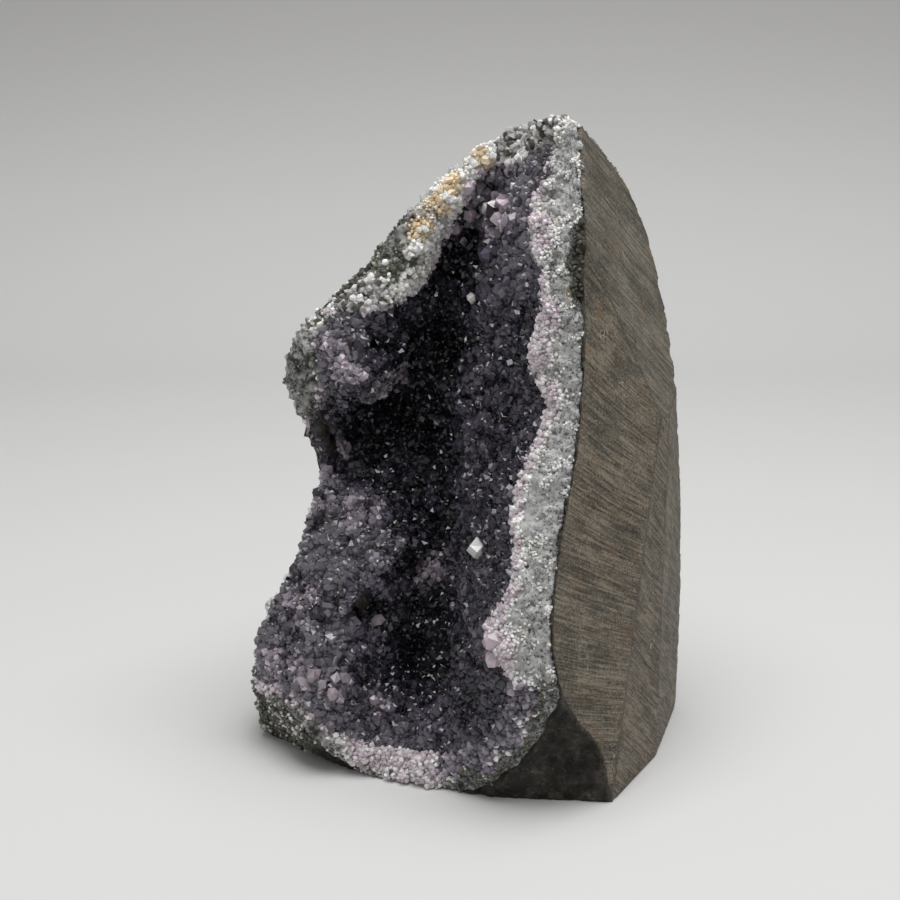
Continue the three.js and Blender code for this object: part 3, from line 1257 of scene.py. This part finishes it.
def spaced(where: Array, apart: Array) -> Array:
    """Keeps the points that are far enough from the ones kept before them.

    Args:
        where: Rows (x, y, z), the most wanted first.
        apart: How far each must be from the others.

    Returns:
        The indices of the points that stay.
    """
    cell = float(apart.max())
    grid: dict[tuple[int, int, int], list[int]] = {}
    stay: list[int] = []
    keys = np.floor(where / cell).astype(int)
    near = [(i, j, k) for i in (-1, 0, 1) for j in (-1, 0, 1) for k in (-1, 0, 1)]
    for index, (x, y, z) in enumerate(keys):
        rivals = [r for i, j, k in near for r in grid.get((x + i, y + j, z + k), ())]
        if rivals:
            gaps = np.linalg.norm(where[rivals] - where[index], axis=1)
            if np.any(gaps < 0.5 * (apart[rivals] + apart[index])):
                continue
        grid.setdefault((x, y, z), []).append(index)
        stay.append(index)
    return np.array(stay)


TIP_WIDTHS = (0.02, 0.3, 0.14, 0.42, 0.2, 0.02, 0.34, 0.18)


@dataclass
class Crystal:
    """One six-sided quartz point, a unit wide, with three broad faces and three small ones at its tip."""

    variant: int
    verts: Array = field(init=False)
    corners: Array = field(init=False)
    sizes: Array = field(init=False)

    def __post_init__(self) -> None:
        """Models the point from a cylinder and reads its mesh."""
        rng = np.random.default_rng(40 + self.variant)
        bpy.ops.mesh.primitive_cylinder_add(vertices=6, radius=0.5, depth=1.0, location=(0, 0, 0))
        piece = bpy.context.object
        edit_part(piece, Part.FACES, [face.normal.z > 0.9 for face in piece.data.polygons])
        shift = rng.uniform(-0.1, 0.1, 2)
        blunt = TIP_WIDTHS[self.variant]
        rise = rng.uniform(0.3, 0.44) * (1.0 - 0.6 * blunt)
        bpy.ops.mesh.extrude_region_move(TRANSFORM_OT_translate={"value": (shift[0], shift[1], rise)})
        bpy.ops.transform.resize(value=(blunt, blunt * (0.35 if self.variant % 2 else 1.0), 1.0))
        if blunt < 0.05:
            bpy.ops.mesh.merge(type="CENTER")
        leave_edit()
        shape = places(piece)
        angle = np.arctan2(shape[:, 1], shape[:, 0])
        side = np.hypot(shape[:, 0], shape[:, 1]) > 0.35
        wobble = 1.0 + 0.14 * np.sin(angle * 2 + self.variant) + 0.1 * np.cos(angle * 3 + 2 * self.variant)
        shape[:, :2] *= np.where(side, wobble, 1.0)[:, None]
        shoulder = side & (shape[:, 2] > 0.2)
        shape[shoulder, 2] += 0.17 * np.cos(angle[shoulder] * 3 + self.variant) - 0.05
        self.verts = shape
        self.corners = np.array([c for face in piece.data.polygons for c in face.vertices])
        self.sizes = np.array([len(face.vertices) for face in piece.data.polygons])
        bpy.data.objects.remove(piece)


# Painted highlights: this share of crystal faces is painted brighter by this factor, as sparkles of the lamp.
PAINTED_GLINT_SHARE = 0.01
PAINTED_GLINT_BRIGHTNESS = 1.7


@dataclass
class Growth:
    """Crystals to be set in one piece."""

    where: Array
    axis: Array
    width: Array
    height: Array
    hue: Array
    tone: Array
    glassy: float
    # How strongly each crystal is painted darker at its foot and lighter at its tip, as painted shade and
    # light.
    painted_base_shade: float = 0.8

    def part(self, wanted: Array) -> "Growth":
        """The crystals at these indices."""
        return Growth(self.where[wanted], self.axis[wanted], self.width[wanted], self.height[wanted],
                      self.hue[wanted], self.tone[wanted], self.glassy, self.painted_base_shade)

    def frames(self, rng: Chance) -> Array:
        """One sized and turned set of axes for each crystal.

        Args:
            rng: The source of chance.

        Returns:
            Three rows, across, across and along, for each crystal.
        """
        spin = rng.random(len(self.where)) * math.tau
        level = np.cross(self.axis, (0.31, 0.2, 0.93))
        level /= np.linalg.norm(level, axis=1, keepdims=True)
        other = np.cross(self.axis, level)
        first = level * np.cos(spin)[:, None] + other * np.sin(spin)[:, None]
        second = np.cross(self.axis, first)
        width = self.width[:, None]
        return np.stack([first * width, second * width, self.axis * self.height[:, None]], 1)

    def chart(self, shape: Crystal, mine: Array, rng: Chance) -> Array:
        """Where the faces of these crystals lie on the colour chart, with painted highlights and painted
        shade.

        Args:
            shape: The modelled point.
            mine: The indices of its crystals.
            rng: The source of chance.

        Returns:
            Rows (across, up), one for each corner of each face.
        """
        faces = len(shape.sizes)
        # Painted highlight: a few faces of each crystal are painted brighter, as sparkles of the lamp.
        painted_glint = np.where(rng.random((len(mine), faces)) < PAINTED_GLINT_SHARE, PAINTED_GLINT_BRIGHTNESS, 1.0)
        tone_with_glints = self.tone[mine, None] * (1.0 + rng.normal(0.0, self.glassy, (len(mine), faces))) * painted_glint
        face_of = np.repeat(np.arange(faces), shape.sizes)
        order = np.concatenate([np.arange(size) for size in shape.sizes])
        # Painted shade and light: faces are painted darker towards the crystal's foot, where the crowd shades
        # it, and lighter towards its tip.
        painted_tip_light = self.painted_base_shade * shape.verts[shape.corners, 2]
        up = tone_with_glints[:, face_of] * (1.0 + painted_tip_light) + 0.004 * order
        across = self.hue[mine, None] + 0.012 * np.cos(2.1 * order)
        hidden = shape.verts[shape.corners, 2].reshape(1, -1) < -0.45
        base = hidden & (shape.sizes[face_of] == 6)
        across = np.where(base, 0.5 + 0.48 * np.cos(2.1 * order + mine[:, None]), across)
        up = np.where(base, 0.5 + 0.48 * np.sin(1.7 * order + mine[:, None]), up)
        return np.stack([across, up], 2).reshape(-1, 2)

    def build(self, name: str, shapes: list[Crystal], rng: Chance) -> Piece:
        """Copies the modelled points to every place, as one mesh with its colour chart.

        Args:
            name: The piece's name.
            shapes: The modelled points.
            rng: The source of chance.

        Returns:
            The piece.
        """
        kinds = rng.integers(0, len(shapes), len(self.where))
        frames = self.frames(rng)
        verts, corners, sizes, chart = [], [], [], []
        base = 0
        for kind, shape in enumerate(shapes):
            mine = np.flatnonzero(kinds == kind)
            verts.append((shape.verts @ frames[mine] + self.where[mine, None]).reshape(-1, 3))
            start = base + np.arange(len(mine)) * len(shape.verts)
            corners.append((start[:, None] + shape.corners).ravel())
            sizes.append(np.tile(shape.sizes, len(mine)))
            chart.append(self.chart(shape, mine, rng))
            base += len(mine) * len(shape.verts)
        all_verts, all_sizes = np.concatenate(verts), np.concatenate(sizes)
        all_verts[:, 2] = np.maximum(all_verts[:, 2], 0.05 * MM)
        all_verts[:, 1] = np.maximum(all_verts[:, 1], FRONT_LIMIT)
        mesh = bpy.data.meshes.new(name)
        mesh.vertices.add(len(all_verts))
        mesh.vertices.foreach_set("co", all_verts.ravel())
        mesh.loops.add(int(all_sizes.sum()))
        mesh.loops.foreach_set("vertex_index", np.concatenate(corners))
        mesh.polygons.add(len(all_sizes))
        mesh.polygons.foreach_set("loop_start", np.cumsum(all_sizes) - all_sizes)
        chart_places = np.clip(np.concatenate(chart), 0.005, 0.995).astype(np.float32)
        mesh.uv_layers.new(name=CHART_MAP).uv.foreach_set("vector", chart_places.ravel())
        mesh.update(calc_edges=True)
        mesh.validate()
        mesh.shade_flat()
        piece = bpy.data.objects.new(name, mesh)
        bpy.context.scene.collection.objects.link(piece)
        return piece


@dataclass
class Lining:
    """Crystals of one kind on one stretch of the stone."""

    soil: Soil
    shapes: list[Crystal]
    material: Material
    seeds: int = 220000
    crowding: float = 0.46
    tilt: float = 0.3
    seed: int = 7
    glassy: float = 0.28
    rooted: float = 0.1

    def grow(self) -> Growth:
        """Thins the seeds and gives each crystal its size, lean, hue and tone.

        Returns:
            The crystals.
        """
        rng = np.random.default_rng(self.seed)
        seeds = self.soil.sow(self.seeds, rng)
        seeds = seeds.part(self.wanted(seeds, rng))
        width = self.widths(seeds, rng)
        order = np.argsort(-width * rng.uniform(0.6, 1.0, len(width)))
        seeds, width = seeds.part(order), width[order]
        stay = spaced(seeds.where, width * self.crowding)
        seeds, width = seeds.part(stay), width[stay]
        axis = seeds.facing + rng.normal(0.0, self.tilt, seeds.where.shape)
        axis /= np.linalg.norm(axis, axis=1, keepdims=True)
        height = width * rng.uniform(0.75, 1.15, len(width))
        hue, tone = self.tints(seeds, rng)
        where = seeds.where - axis * (self.rooted * width)[:, None]
        LOG.info("%s: %d crystals", type(self).__name__, len(where))
        hue, tone = np.clip(hue, 0.03, 0.97), np.clip(tone, 0.02, 0.96)
        return Growth(where, axis, width, height, hue, tone, self.glassy)

    def wanted(self, seeds: Seeds, rng: Chance) -> Array:
        """Which seeds may grow at all."""
        raise NotImplementedError

    def widths(self, seeds: Seeds, rng: Chance) -> Array:
        """A width for each crystal."""
        raise NotImplementedError

    def tints(self, seeds: Seeds, rng: Chance) -> tuple[Array, Array]:
        """Hue and tone of each crystal from where it stands."""
        raise NotImplementedError

    def build(self) -> list[Piece]:
        """Grows the lining as named pieces.

        Returns:
            The pieces made.
        """
        growth = self.grow()
        rng = np.random.default_rng(self.seed + 1)
        pieces = []
        for name, members in self.stretches(growth.where):
            piece = growth.part(np.flatnonzero(members)).build(name, self.shapes, rng)
            dress(piece, self.material)
            pieces.append(piece)
        return pieces

    def stretches(self, where: Array) -> list[tuple[str, Array]]:
        """Named shares of the crystals, as masks."""
        raise NotImplementedError


@dataclass
class AmethystLining(Lining):
    """The dark crystals of the hollow."""

    slim: float = 0.6 * MM
    stout: float = 2.0 * MM

    def wanted(self, seeds: Seeds, rng: Chance) -> Array:
        """All of the bed and a ragged margin beyond it."""
        return seeds.fields["druse"] > -0.35 * MM

    def widths(self, seeds: Seeds, rng: Chance) -> Array:
        """Fine crystals, with stout ones in the upper hollow, on the lump and on the lobe.

        Args:
            seeds: The seeds.
            rng: The source of chance.

        Returns:
            One width for each.
        """
        share = rng.beta(1.3, 3.6, len(seeds.where))
        stout = share_of(STOUT_CRYSTALS, seeds.where)
        width = self.slim + (self.stout - self.slim) * share
        return width * (1.0 + 0.45 * stout) * (0.85 + 0.3 * seeds.fields["crest"])

    def tints(self, seeds: Seeds, rng: Chance) -> tuple[Array, Array]:
        """Painted shade: black-violet and darker where little sky is open over them, in the voids, in the
        crack and in the creases; smoky and brighter on open ground. Mauve and pale on the crests.

        Args:
            seeds: The seeds.
            rng: The source of chance.

        Returns:
            Hue and tone of each.
        """
        where, count = seeds.where, len(seeds.where)
        chance = rng.normal(0, 1, (4, count))
        patches = wander(where, 5 * MM, 33.0, 2)
        # Painted shade: crystals with little open sky over them are painted darker and more violet, as shade
        # in the hollow.
        painted_sky_light = step(0.36, 0.97, seeds.fields["sky"])
        right = step(2 * MM, 12 * MM, where[:, 0]) * (1.0 - step(82 * MM, 96 * MM, where[:, 2]))
        painted_sky_light *= 1.0 - 0.68 * right
        blend = np.clip(painted_sky_light * 1.15 + 0.25 * patches + 0.25 * chance[0], 0, 1)
        hue = Hue.DEEP + (Hue.SMOKY - Hue.DEEP) * blend
        tone = 0.26 + 0.34 * painted_sky_light + 0.13 * patches + 0.1 * chance[1]
        pink = share_of(PINK_CRESTS, where) * (1.0 + 0.4 * chance[2]) > 0.5
        hue = np.where(pink, rng.uniform(Hue.SMOKY, Hue.PINK - 0.05, count), hue)
        pale = share_of(PALE_CRESTS, where) * (1.0 + 0.6 * chance[3]) > 0.6
        hue = np.where(pale, rng.uniform(Hue.SMOKY, Hue.PINK, count), hue)
        icy = share_of(ICY_CRESTS, where) * (1.0 + 0.4 * chance[0]) > 0.5
        hue = np.where(icy, rng.uniform(Hue.PINK + 0.03, Hue.MILK, count), hue)
        tone = np.where(icy, 0.8 * tone, tone)
        edge = step(-0.4 * MM, 0.9 * MM, seeds.fields["druse"] + 0.5 * MM * chance[2]) < 0.5
        palest = np.where(where[:, 0] > 8 * MM, Hue.LILAC, Hue.PINK)
        hue = np.where(edge, rng.uniform(Hue.SMOKY, palest), hue)
        # Painted shade: crystals in the voids and the crack, and in the creases between crests, are painted
        # darker.
        painted_void_shade = np.maximum(share_of(VOIDS, where, 0.6), share_of(CRACK, where))
        return hue, tone * (1.0 - 0.5 * painted_void_shade) * (0.66 + 0.72 * seeds.fields["crest"])

    def stretches(self, where: Array) -> list[tuple[str, Array]]:
        """Six stretches by height and side.

        Args:
            where: The crystals' places.

        Returns:
            The name and the members of each.
        """
        low, high, left = where[:, 2] < 28 * MM, where[:, 2] > 66 * MM, where[:, 0] < -1 * MM
        return [
            ("crystals_lobe", low & left),
            ("crystals_foot_wall", low & ~left),
            ("crystals_mound", ~low & ~high & left),
            ("crystals_right_wall", ~low & ~high & ~left),
            ("crystals_overhang", high & left),
            ("crystals_upper_wall", high & ~left),
        ]


@dataclass
class SugarLining(Lining):
    """The small white grains of the rind, with coarser crystals where it is open."""

    def wanted(self, seeds: Seeds, rng: Chance) -> Array:
        """The rind's open face, but not where it is sawn or under the druse.

        Args:
            seeds: The seeds.
            rng: The source of chance.

        Returns:
            True for each seed that may grow.
        """
        fields = seeds.fields
        open_face = (fields["sawn"] < 0.2) & (fields["rind"] > 0.15 * MM) & (fields["druse"] < 0.6 * MM)
        patchy = wander(seeds.where, 3 * MM, 66.0, 2) - 0.12
        crowd = np.maximum(self.coarse(seeds.where), step(-1.3 * MM, -0.2 * MM, fields["druse"]))
        crowd = np.maximum(crowd, patchy)
        bare = 1.0 - share_of(GREEN_CRUST + FOOT_ROCK, seeds.where)
        return open_face & (rng.random(len(seeds.where)) < crowd * (0.06 + bare))

    def coarse(self, where: Array) -> Array:
        """Where the rind carries real crystals and not just grains, from 0 to 1."""
        coarse = share_of(LUMP_TOP + APEX + RIM_TUFTS + FOOT_VIOLET, where)
        return np.maximum(coarse, 0.55 * share_of(BLUSHES, where))

    def widths(self, seeds: Seeds, rng: Chance) -> Array:
        """Fine grains, coarser on the lump, the rim, the apex and the foot.

        Args:
            seeds: The seeds.
            rng: The source of chance.

        Returns:
            One width for each.
        """
        share = rng.beta(1.5, 3.0, len(seeds.where))
        coarse = np.maximum(self.coarse(seeds.where), 0.6 * step(-1.6 * MM, 0.0, seeds.fields["druse"]))
        return (0.4 + 0.3 * share + coarse * (0.3 + 0.9 * share)) * MM

    def tints(self, seeds: Seeds, rng: Chance) -> tuple[Array, Array]:
        """White, mossy beside the rock, blushed beside the druse and honey where stained, and painted darker
        in the crack as painted shade.

        Args:
            seeds: The seeds.
            rng: The source of chance.

        Returns:
            Hue and tone of each.
        """
        where, count, fields = seeds.where, len(seeds.where), seeds.fields
        chance = rng.normal(0, 1, (4, count))
        hue = Hue.MILK + 0.02 * chance[0]
        tone = 0.62 + 0.06 * chance[1] + 0.1 * wander(where, 2.5 * MM, 61.0, 2)
        near_rock = 1.0 - step(0.3 * MM, 3.0 * MM, fields["rind"])
        mossy = near_rock * (1.0 + 0.4 * chance[2]) > 0.7
        mossy |= share_of(GREEN_CRUST + FOOT_SPECKLE + FOOT_ROCK, where) * (1.0 + 0.4 * chance[3]) > 0.5
        hue = np.where(mossy, Hue.MOSS, hue)
        pink = np.maximum(share_of(BLUSHES, where), 0.8 * step(-1.2 * MM, 0.2 * MM, fields["druse"]))
        pink = pink * (1.0 + 0.4 * chance[0]) > 0.55
        hue = np.where(pink, rng.uniform(Hue.PINK - 0.03, Hue.PINK + 0.07, count), hue)
        tone = np.where(pink, tone + 0.1 - 0.12 * (where[:, 2] < 12 * MM), tone)
        grey = share_of(LUMP_TOP + APEX, where) * (1.0 + 0.3 * chance[1]) > 0.5
        hue = np.where(grey, rng.uniform(Hue.PINK + 0.05, Hue.MILK + 0.03, count), hue)
        hue = np.where(grey & (rng.random(count) < 0.3), Hue.MOSS, hue)
        tone = np.where(grey, 0.33 + 0.1 * chance[3] + 0.14 * wander(where, 3 * MM, 71.0), tone)
        violet = share_of(FOOT_VIOLET, where) * (1.0 + 0.3 * chance[0]) > 0.45
        hue = np.where(violet, rng.uniform(Hue.VIOLET, Hue.LILAC + 0.05, count), hue)
        honey = share_of(HONEY_STAINS, where) * (1.0 + 0.6 * chance[2]) > 0.5
        hue = np.where(honey, Hue.HONEY - rng.uniform(0, 0.05, count), hue)
        # Painted shade: grains in the crack are painted darker.
        return hue, tone * (1.0 - 0.6 * share_of(CRACK, where))

    def stretches(self, where: Array) -> list[tuple[str, Array]]:
        """Two stretches, left and right of the hollow."""
        left = where[:, 0] < 5 * MM
        return [("grains_left_rim", left), ("grains_right_band", ~left)]


@dataclass
class CrustLining(Lining):
    """Grey-green grains on the old crust of the rock."""

    def wanted(self, seeds: Seeds, rng: Chance) -> Array:
        """The crusted spots in front, in loose patches.

        Args:
            seeds: The seeds.
            rng: The source of chance.

        Returns:
            True for each seed that may grow.
        """
        share = share_of(GREEN_CRUST + FOOT_ROCK + DARK_WEDGE, seeds.where)
        patchy = share + 0.5 * wander(seeds.where, 3 * MM, 15.0, 2) * (share > 0.05)
        bare_rock = (seeds.fields["rind"] < 0.3 * MM) & (seeds.fields["sawn"] < 0.2)
        return bare_rock & (patchy > 0.45)

    def widths(self, seeds: Seeds, rng: Chance) -> Array:
        """Fine grains with a few coarse ones."""
        return (0.45 + 0.9 * rng.beta(1.2, 4.0, len(seeds.where))) * MM

    def tints(self, seeds: Seeds, rng: Chance) -> tuple[Array, Array]:
        """Moss grey, some of them milky or stained.

        Args:
            seeds: The seeds.
            rng: The source of chance.

        Returns:
            Hue and tone of each.
        """
        count = len(seeds.where)
        patches = wander(seeds.where, 2.5 * MM, 25.0, 2)
        hue = np.where(rng.random(count) + 0.6 * patches > 0.72, rng.uniform(0.66, 0.79, count), Hue.MOSS)
        dark = share_of(DARK_WEDGE, seeds.where)
        hue = np.where(dark > 0.3, Hue.MOSS, hue)
        return hue, (0.42 + 0.3 * patches + 0.12 * rng.normal(0, 1, count)) * (1.0 - 0.45 * dark)

    def stretches(self, where: Array) -> list[tuple[str, Array]]:
        """Two stretches, above and below."""
        high = where[:, 2] > 40 * MM
        return [("crust_grains_shoulder", high), ("crust_grains_foot", ~high)]


@dataclass(frozen=True)
class ShowCrystal:
    """A single crystal that stands out, by its place and width in millimetres, hue and tone."""

    x: float
    y: float
    z: float
    width: float
    hue: Hue
    tone: float


SHOW_CRYSTALS = (
    ShowCrystal(11, -19, 43, 3.2, Hue.MILK, 0.5), ShowCrystal(21.5, -32, 31, 3.2, Hue.PINK, 0.6),
    ShowCrystal(20, -32, 28.5, 3, Hue.PINK, 0.65), ShowCrystal(0, 3, 83, 2, Hue.MILK, 0.4),
    ShowCrystal(-2, 3, 75, 1.4, Hue.MILK, 0.6), ShowCrystal(3, -2, 71, 1.5, Hue.MILK, 0.7),
    ShowCrystal(-16, -30.5, 18, 2.6, Hue.PINK, 0.45), ShowCrystal(-12.5, -31, 16, 2.4, Hue.PINK, 0.4),
    ShowCrystal(-13.5, -27.5, 25, 2.2, Hue.LILAC, 0.7), ShowCrystal(-7.5, -20.5, 28, 2.4, Hue.PINK, 0.3),
    ShowCrystal(2, -12, 29, 2, Hue.LILAC, 0.8), ShowCrystal(-6.5, -24, 13, 2, Hue.PINK, 0.4),
    ShowCrystal(-1, 5.5, 98.5, 3, Hue.PINK, 0.34), ShowCrystal(-1, 2, 103.5, 2.8, Hue.PINK, 0.42),
    ShowCrystal(5.5, 2.5, 101, 2.8, Hue.PINK, 0.3), ShowCrystal(-3.5, 5, 95.5, 2.4, Hue.PINK, 0.3),
)


@dataclass
class ShowPieces:
    """The crystals that stand out, each rooted at the nearest point of the ground."""

    soils: tuple[Soil, ...]
    shapes: list[Crystal]
    material: Material
    forward: tuple = (0.42, -0.87, 0.26)
    seed: int = 5

    def build(self) -> list[Piece]:
        """Sets the crystals as one piece.

        Returns:
            The pieces made.
        """
        ground = np.concatenate([soil.corners[:, 0] for soil in self.soils])
        facing = np.concatenate([soil.facing[:, 0] for soil in self.soils])
        wished = np.array([(show.x, show.y, show.z) for show in SHOW_CRYSTALS]) * MM
        roots = [int(np.argmin(np.linalg.norm(ground - place, axis=1))) for place in wished]
        axis = facing[roots] + 0.8 * np.array(self.forward)
        axis /= np.linalg.norm(axis, axis=1, keepdims=True)
        width = np.array([show.width for show in SHOW_CRYSTALS]) * MM
        hue = np.array([show.hue for show in SHOW_CRYSTALS])
        tone = np.array([show.tone for show in SHOW_CRYSTALS])
        # The last number is the painted shade at each crystal's foot and painted light at its tip.
        growth = Growth(ground[roots] + axis * 0.25 * MM, axis, width, width * 0.95, hue, tone, 0.12, 0.5)
        piece = growth.build("show_crystals", self.shapes, np.random.default_rng(self.seed))
        dress(piece, self.material)
        return [piece]


# Studio


@dataclass(frozen=True)
class Studio:
    """A pale sweep, a large soft lamp overhead and the camera."""

    azimuth: float = 25.0
    elevation: float = 15.0
    distance: float = 0.34
    half_view: float = 13.5
    target: tuple = (0.0019, -0.0102, 0.058)
    wall_at: float = 0.44
    wall_height: float = 0.3
    curve: float = 0.13
    paper: tuple = (0.695, 0.695, 0.687)
    # The paper's colour high on the backdrop, painted darker as painted shade.
    shaded_paper: tuple = (0.47, 0.465, 0.455)
    room_light: float = 0.34
    lamp_power: float = 2.9
    lamp_size: tuple = (0.5, 0.4)
    lamp_at: tuple = (0.06, -0.03, 0.56)
    lamp_aim: tuple = (0.0, -0.005, 0.04)

    def build(self) -> None:
        """Makes the sweep, the lamps and the camera."""
        self.sweep()
        self.lamps()
        self.camera()

    def aim(self, piece: Piece, where: Vector, at: Vector) -> None:
        """Puts a lamp or the camera somewhere and turns it towards a point."""
        piece.location = where
        piece.rotation_euler = (at - where).to_track_quat("-Z", "Y").to_euler()

    def sweep(self) -> None:
        """Floor and backdrop as one curved sheet behind the stone, its paper painted darker as it rises, as
        painted shade.
        """
        deselect()
        bpy.ops.mesh.primitive_plane_add(size=2.4, location=(0, self.wall_at - 1.2, 0))
        floor = bpy.context.object
        floor.name = "studio_sweep"
        bpy.ops.object.transform_apply(location=True)
        edit_part(floor, Part.EDGES, self.back_edge(floor))
        bpy.ops.mesh.extrude_region_move(TRANSFORM_OT_translate={"value": (0, 0, self.wall_height)})
        leave_edit()
        edit_part(floor, Part.EDGES, self.back_edge(floor))
        bpy.ops.mesh.bevel(offset=self.curve, segments=24)
        leave_edit()
        turn = Matrix.Rotation(math.radians(self.azimuth), 3, "Z")
        move_to(floor, places(floor) @ np.array(turn).T)
        bpy.ops.object.shade_smooth()
        n = Nodes("studio_paper")
        split = n.add("ShaderNodeSeparateXYZ")
        n.link(n.object_place, split.inputs["Vector"])
        # Painted shade: the paper is painted darker up the backdrop, away from the lamp overhead.
        up = n.band(split.outputs["Z"], 0.0, 0.15)
        dress(floor, n.finish(n.mix(up, (*self.paper, 1), (*self.shaded_paper, 1)), 0.9, None))

    def back_edge(self, floor: Piece) -> list[bool]:
        """Marks the edge that lies on the floor furthest behind the stone.

        Args:
            floor: The sheet.

        Returns:
            True for that edge alone, in the order of the sheet's edges.
        """
        behind = [corner.co.y > 0.0 and corner.co.z < 0.01 for corner in floor.data.vertices]
        return [all(behind[v] for v in line.vertices) for line in floor.data.edges]

    def lamps(self) -> None:
        """One broad lamp overhead and an even pale room."""
        world = bpy.data.worlds.new("room")
        bpy.context.scene.world = world
        world.use_nodes = True
        background = world.node_tree.nodes["Background"]
        background.inputs["Color"].default_value = (1.0, 1.0, 1.0, 1.0)
        background.inputs["Strength"].default_value = self.room_light
        deselect()
        bpy.ops.object.light_add(type="AREA")
        lamp = bpy.context.object
        lamp.name = "overhead"
        lamp.data.shape = "RECTANGLE"
        lamp.data.size, lamp.data.size_y = self.lamp_size
        lamp.data.energy = self.lamp_power
        self.aim(lamp, Vector(self.lamp_at), Vector(self.lamp_aim))

    def camera(self) -> None:
        """The camera at its distance and angle."""
        turn, rise = math.radians(self.azimuth), math.radians(self.elevation)
        target = Vector(self.target)
        back = Vector((math.sin(turn) * math.cos(rise), -math.cos(turn) * math.cos(rise), math.sin(rise)))
        deselect()
        bpy.ops.object.camera_add()
        camera = bpy.context.object
        camera.name = "camera"
        self.aim(camera, target + back * self.distance, target)
        camera.data.angle = 2 * math.radians(self.half_view)
        camera.data.clip_start = 0.01
        bpy.context.scene.camera = camera
        bpy.context.scene.view_settings.view_transform = "Standard"


# Assembly


def hand_over(pieces: list[Piece], node: Node) -> None:
    """Rides pieces on the stone's body in place of a packed layer.

    Args:
        pieces: The finished pieces.
        node: The layer that they replace.
    """
    for piece in pieces:
        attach(piece, BODY)
        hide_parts(node.value)
        LOG.info("%s: %d faces", piece.name, len(piece.data.polygons))


def main() -> None:
    """Builds the stone and its studio."""
    logging.basicConfig(level=logging.INFO, format="%(name)s: %(message)s")
    Studio().build()
    skin = Skin().build()
    rock, rind, bed = HostRock(skin), QuartzRind(skin), DruseBed(skin)
    hand_over(rock.build(), Node.ROCK)
    hand_over(rind.build(), Node.RIND)
    hand_over(bed.build(), Node.DRUSE)
    shapes = [Crystal(variant) for variant in range(len(TIP_WIDTHS))]
    glass = CrystalGlass().material("amethyst")
    sugar = CrystalGlass(gloss=0.28, glow=0.5).material("sugar_quartz")
    grains = SugarLining(rind.soil, shapes, sugar, seeds=90000, crowding=0.5, tilt=0.4, seed=21, glassy=0.07)
    hand_over(grains.build(), Node.RIND)
    dull = CrystalGlass(gloss=0.35, glow=0.0).material("crust_grain")
    crust = CrustLining(rock.soil, shapes, dull, seeds=120000, crowding=0.62, tilt=0.5, seed=33, glassy=0.15)
    hand_over(crust.build(), Node.ROCK)
    hand_over(ShowPieces((bed.soil, rind.soil), shapes, glass).build(), Node.DRUSE)
    hand_over(AmethystLining(bed.soil, shapes, glass).build(), Node.DRUSE)
    bpy.data.objects.remove(skin)


if __name__ == "__main__":
    main()
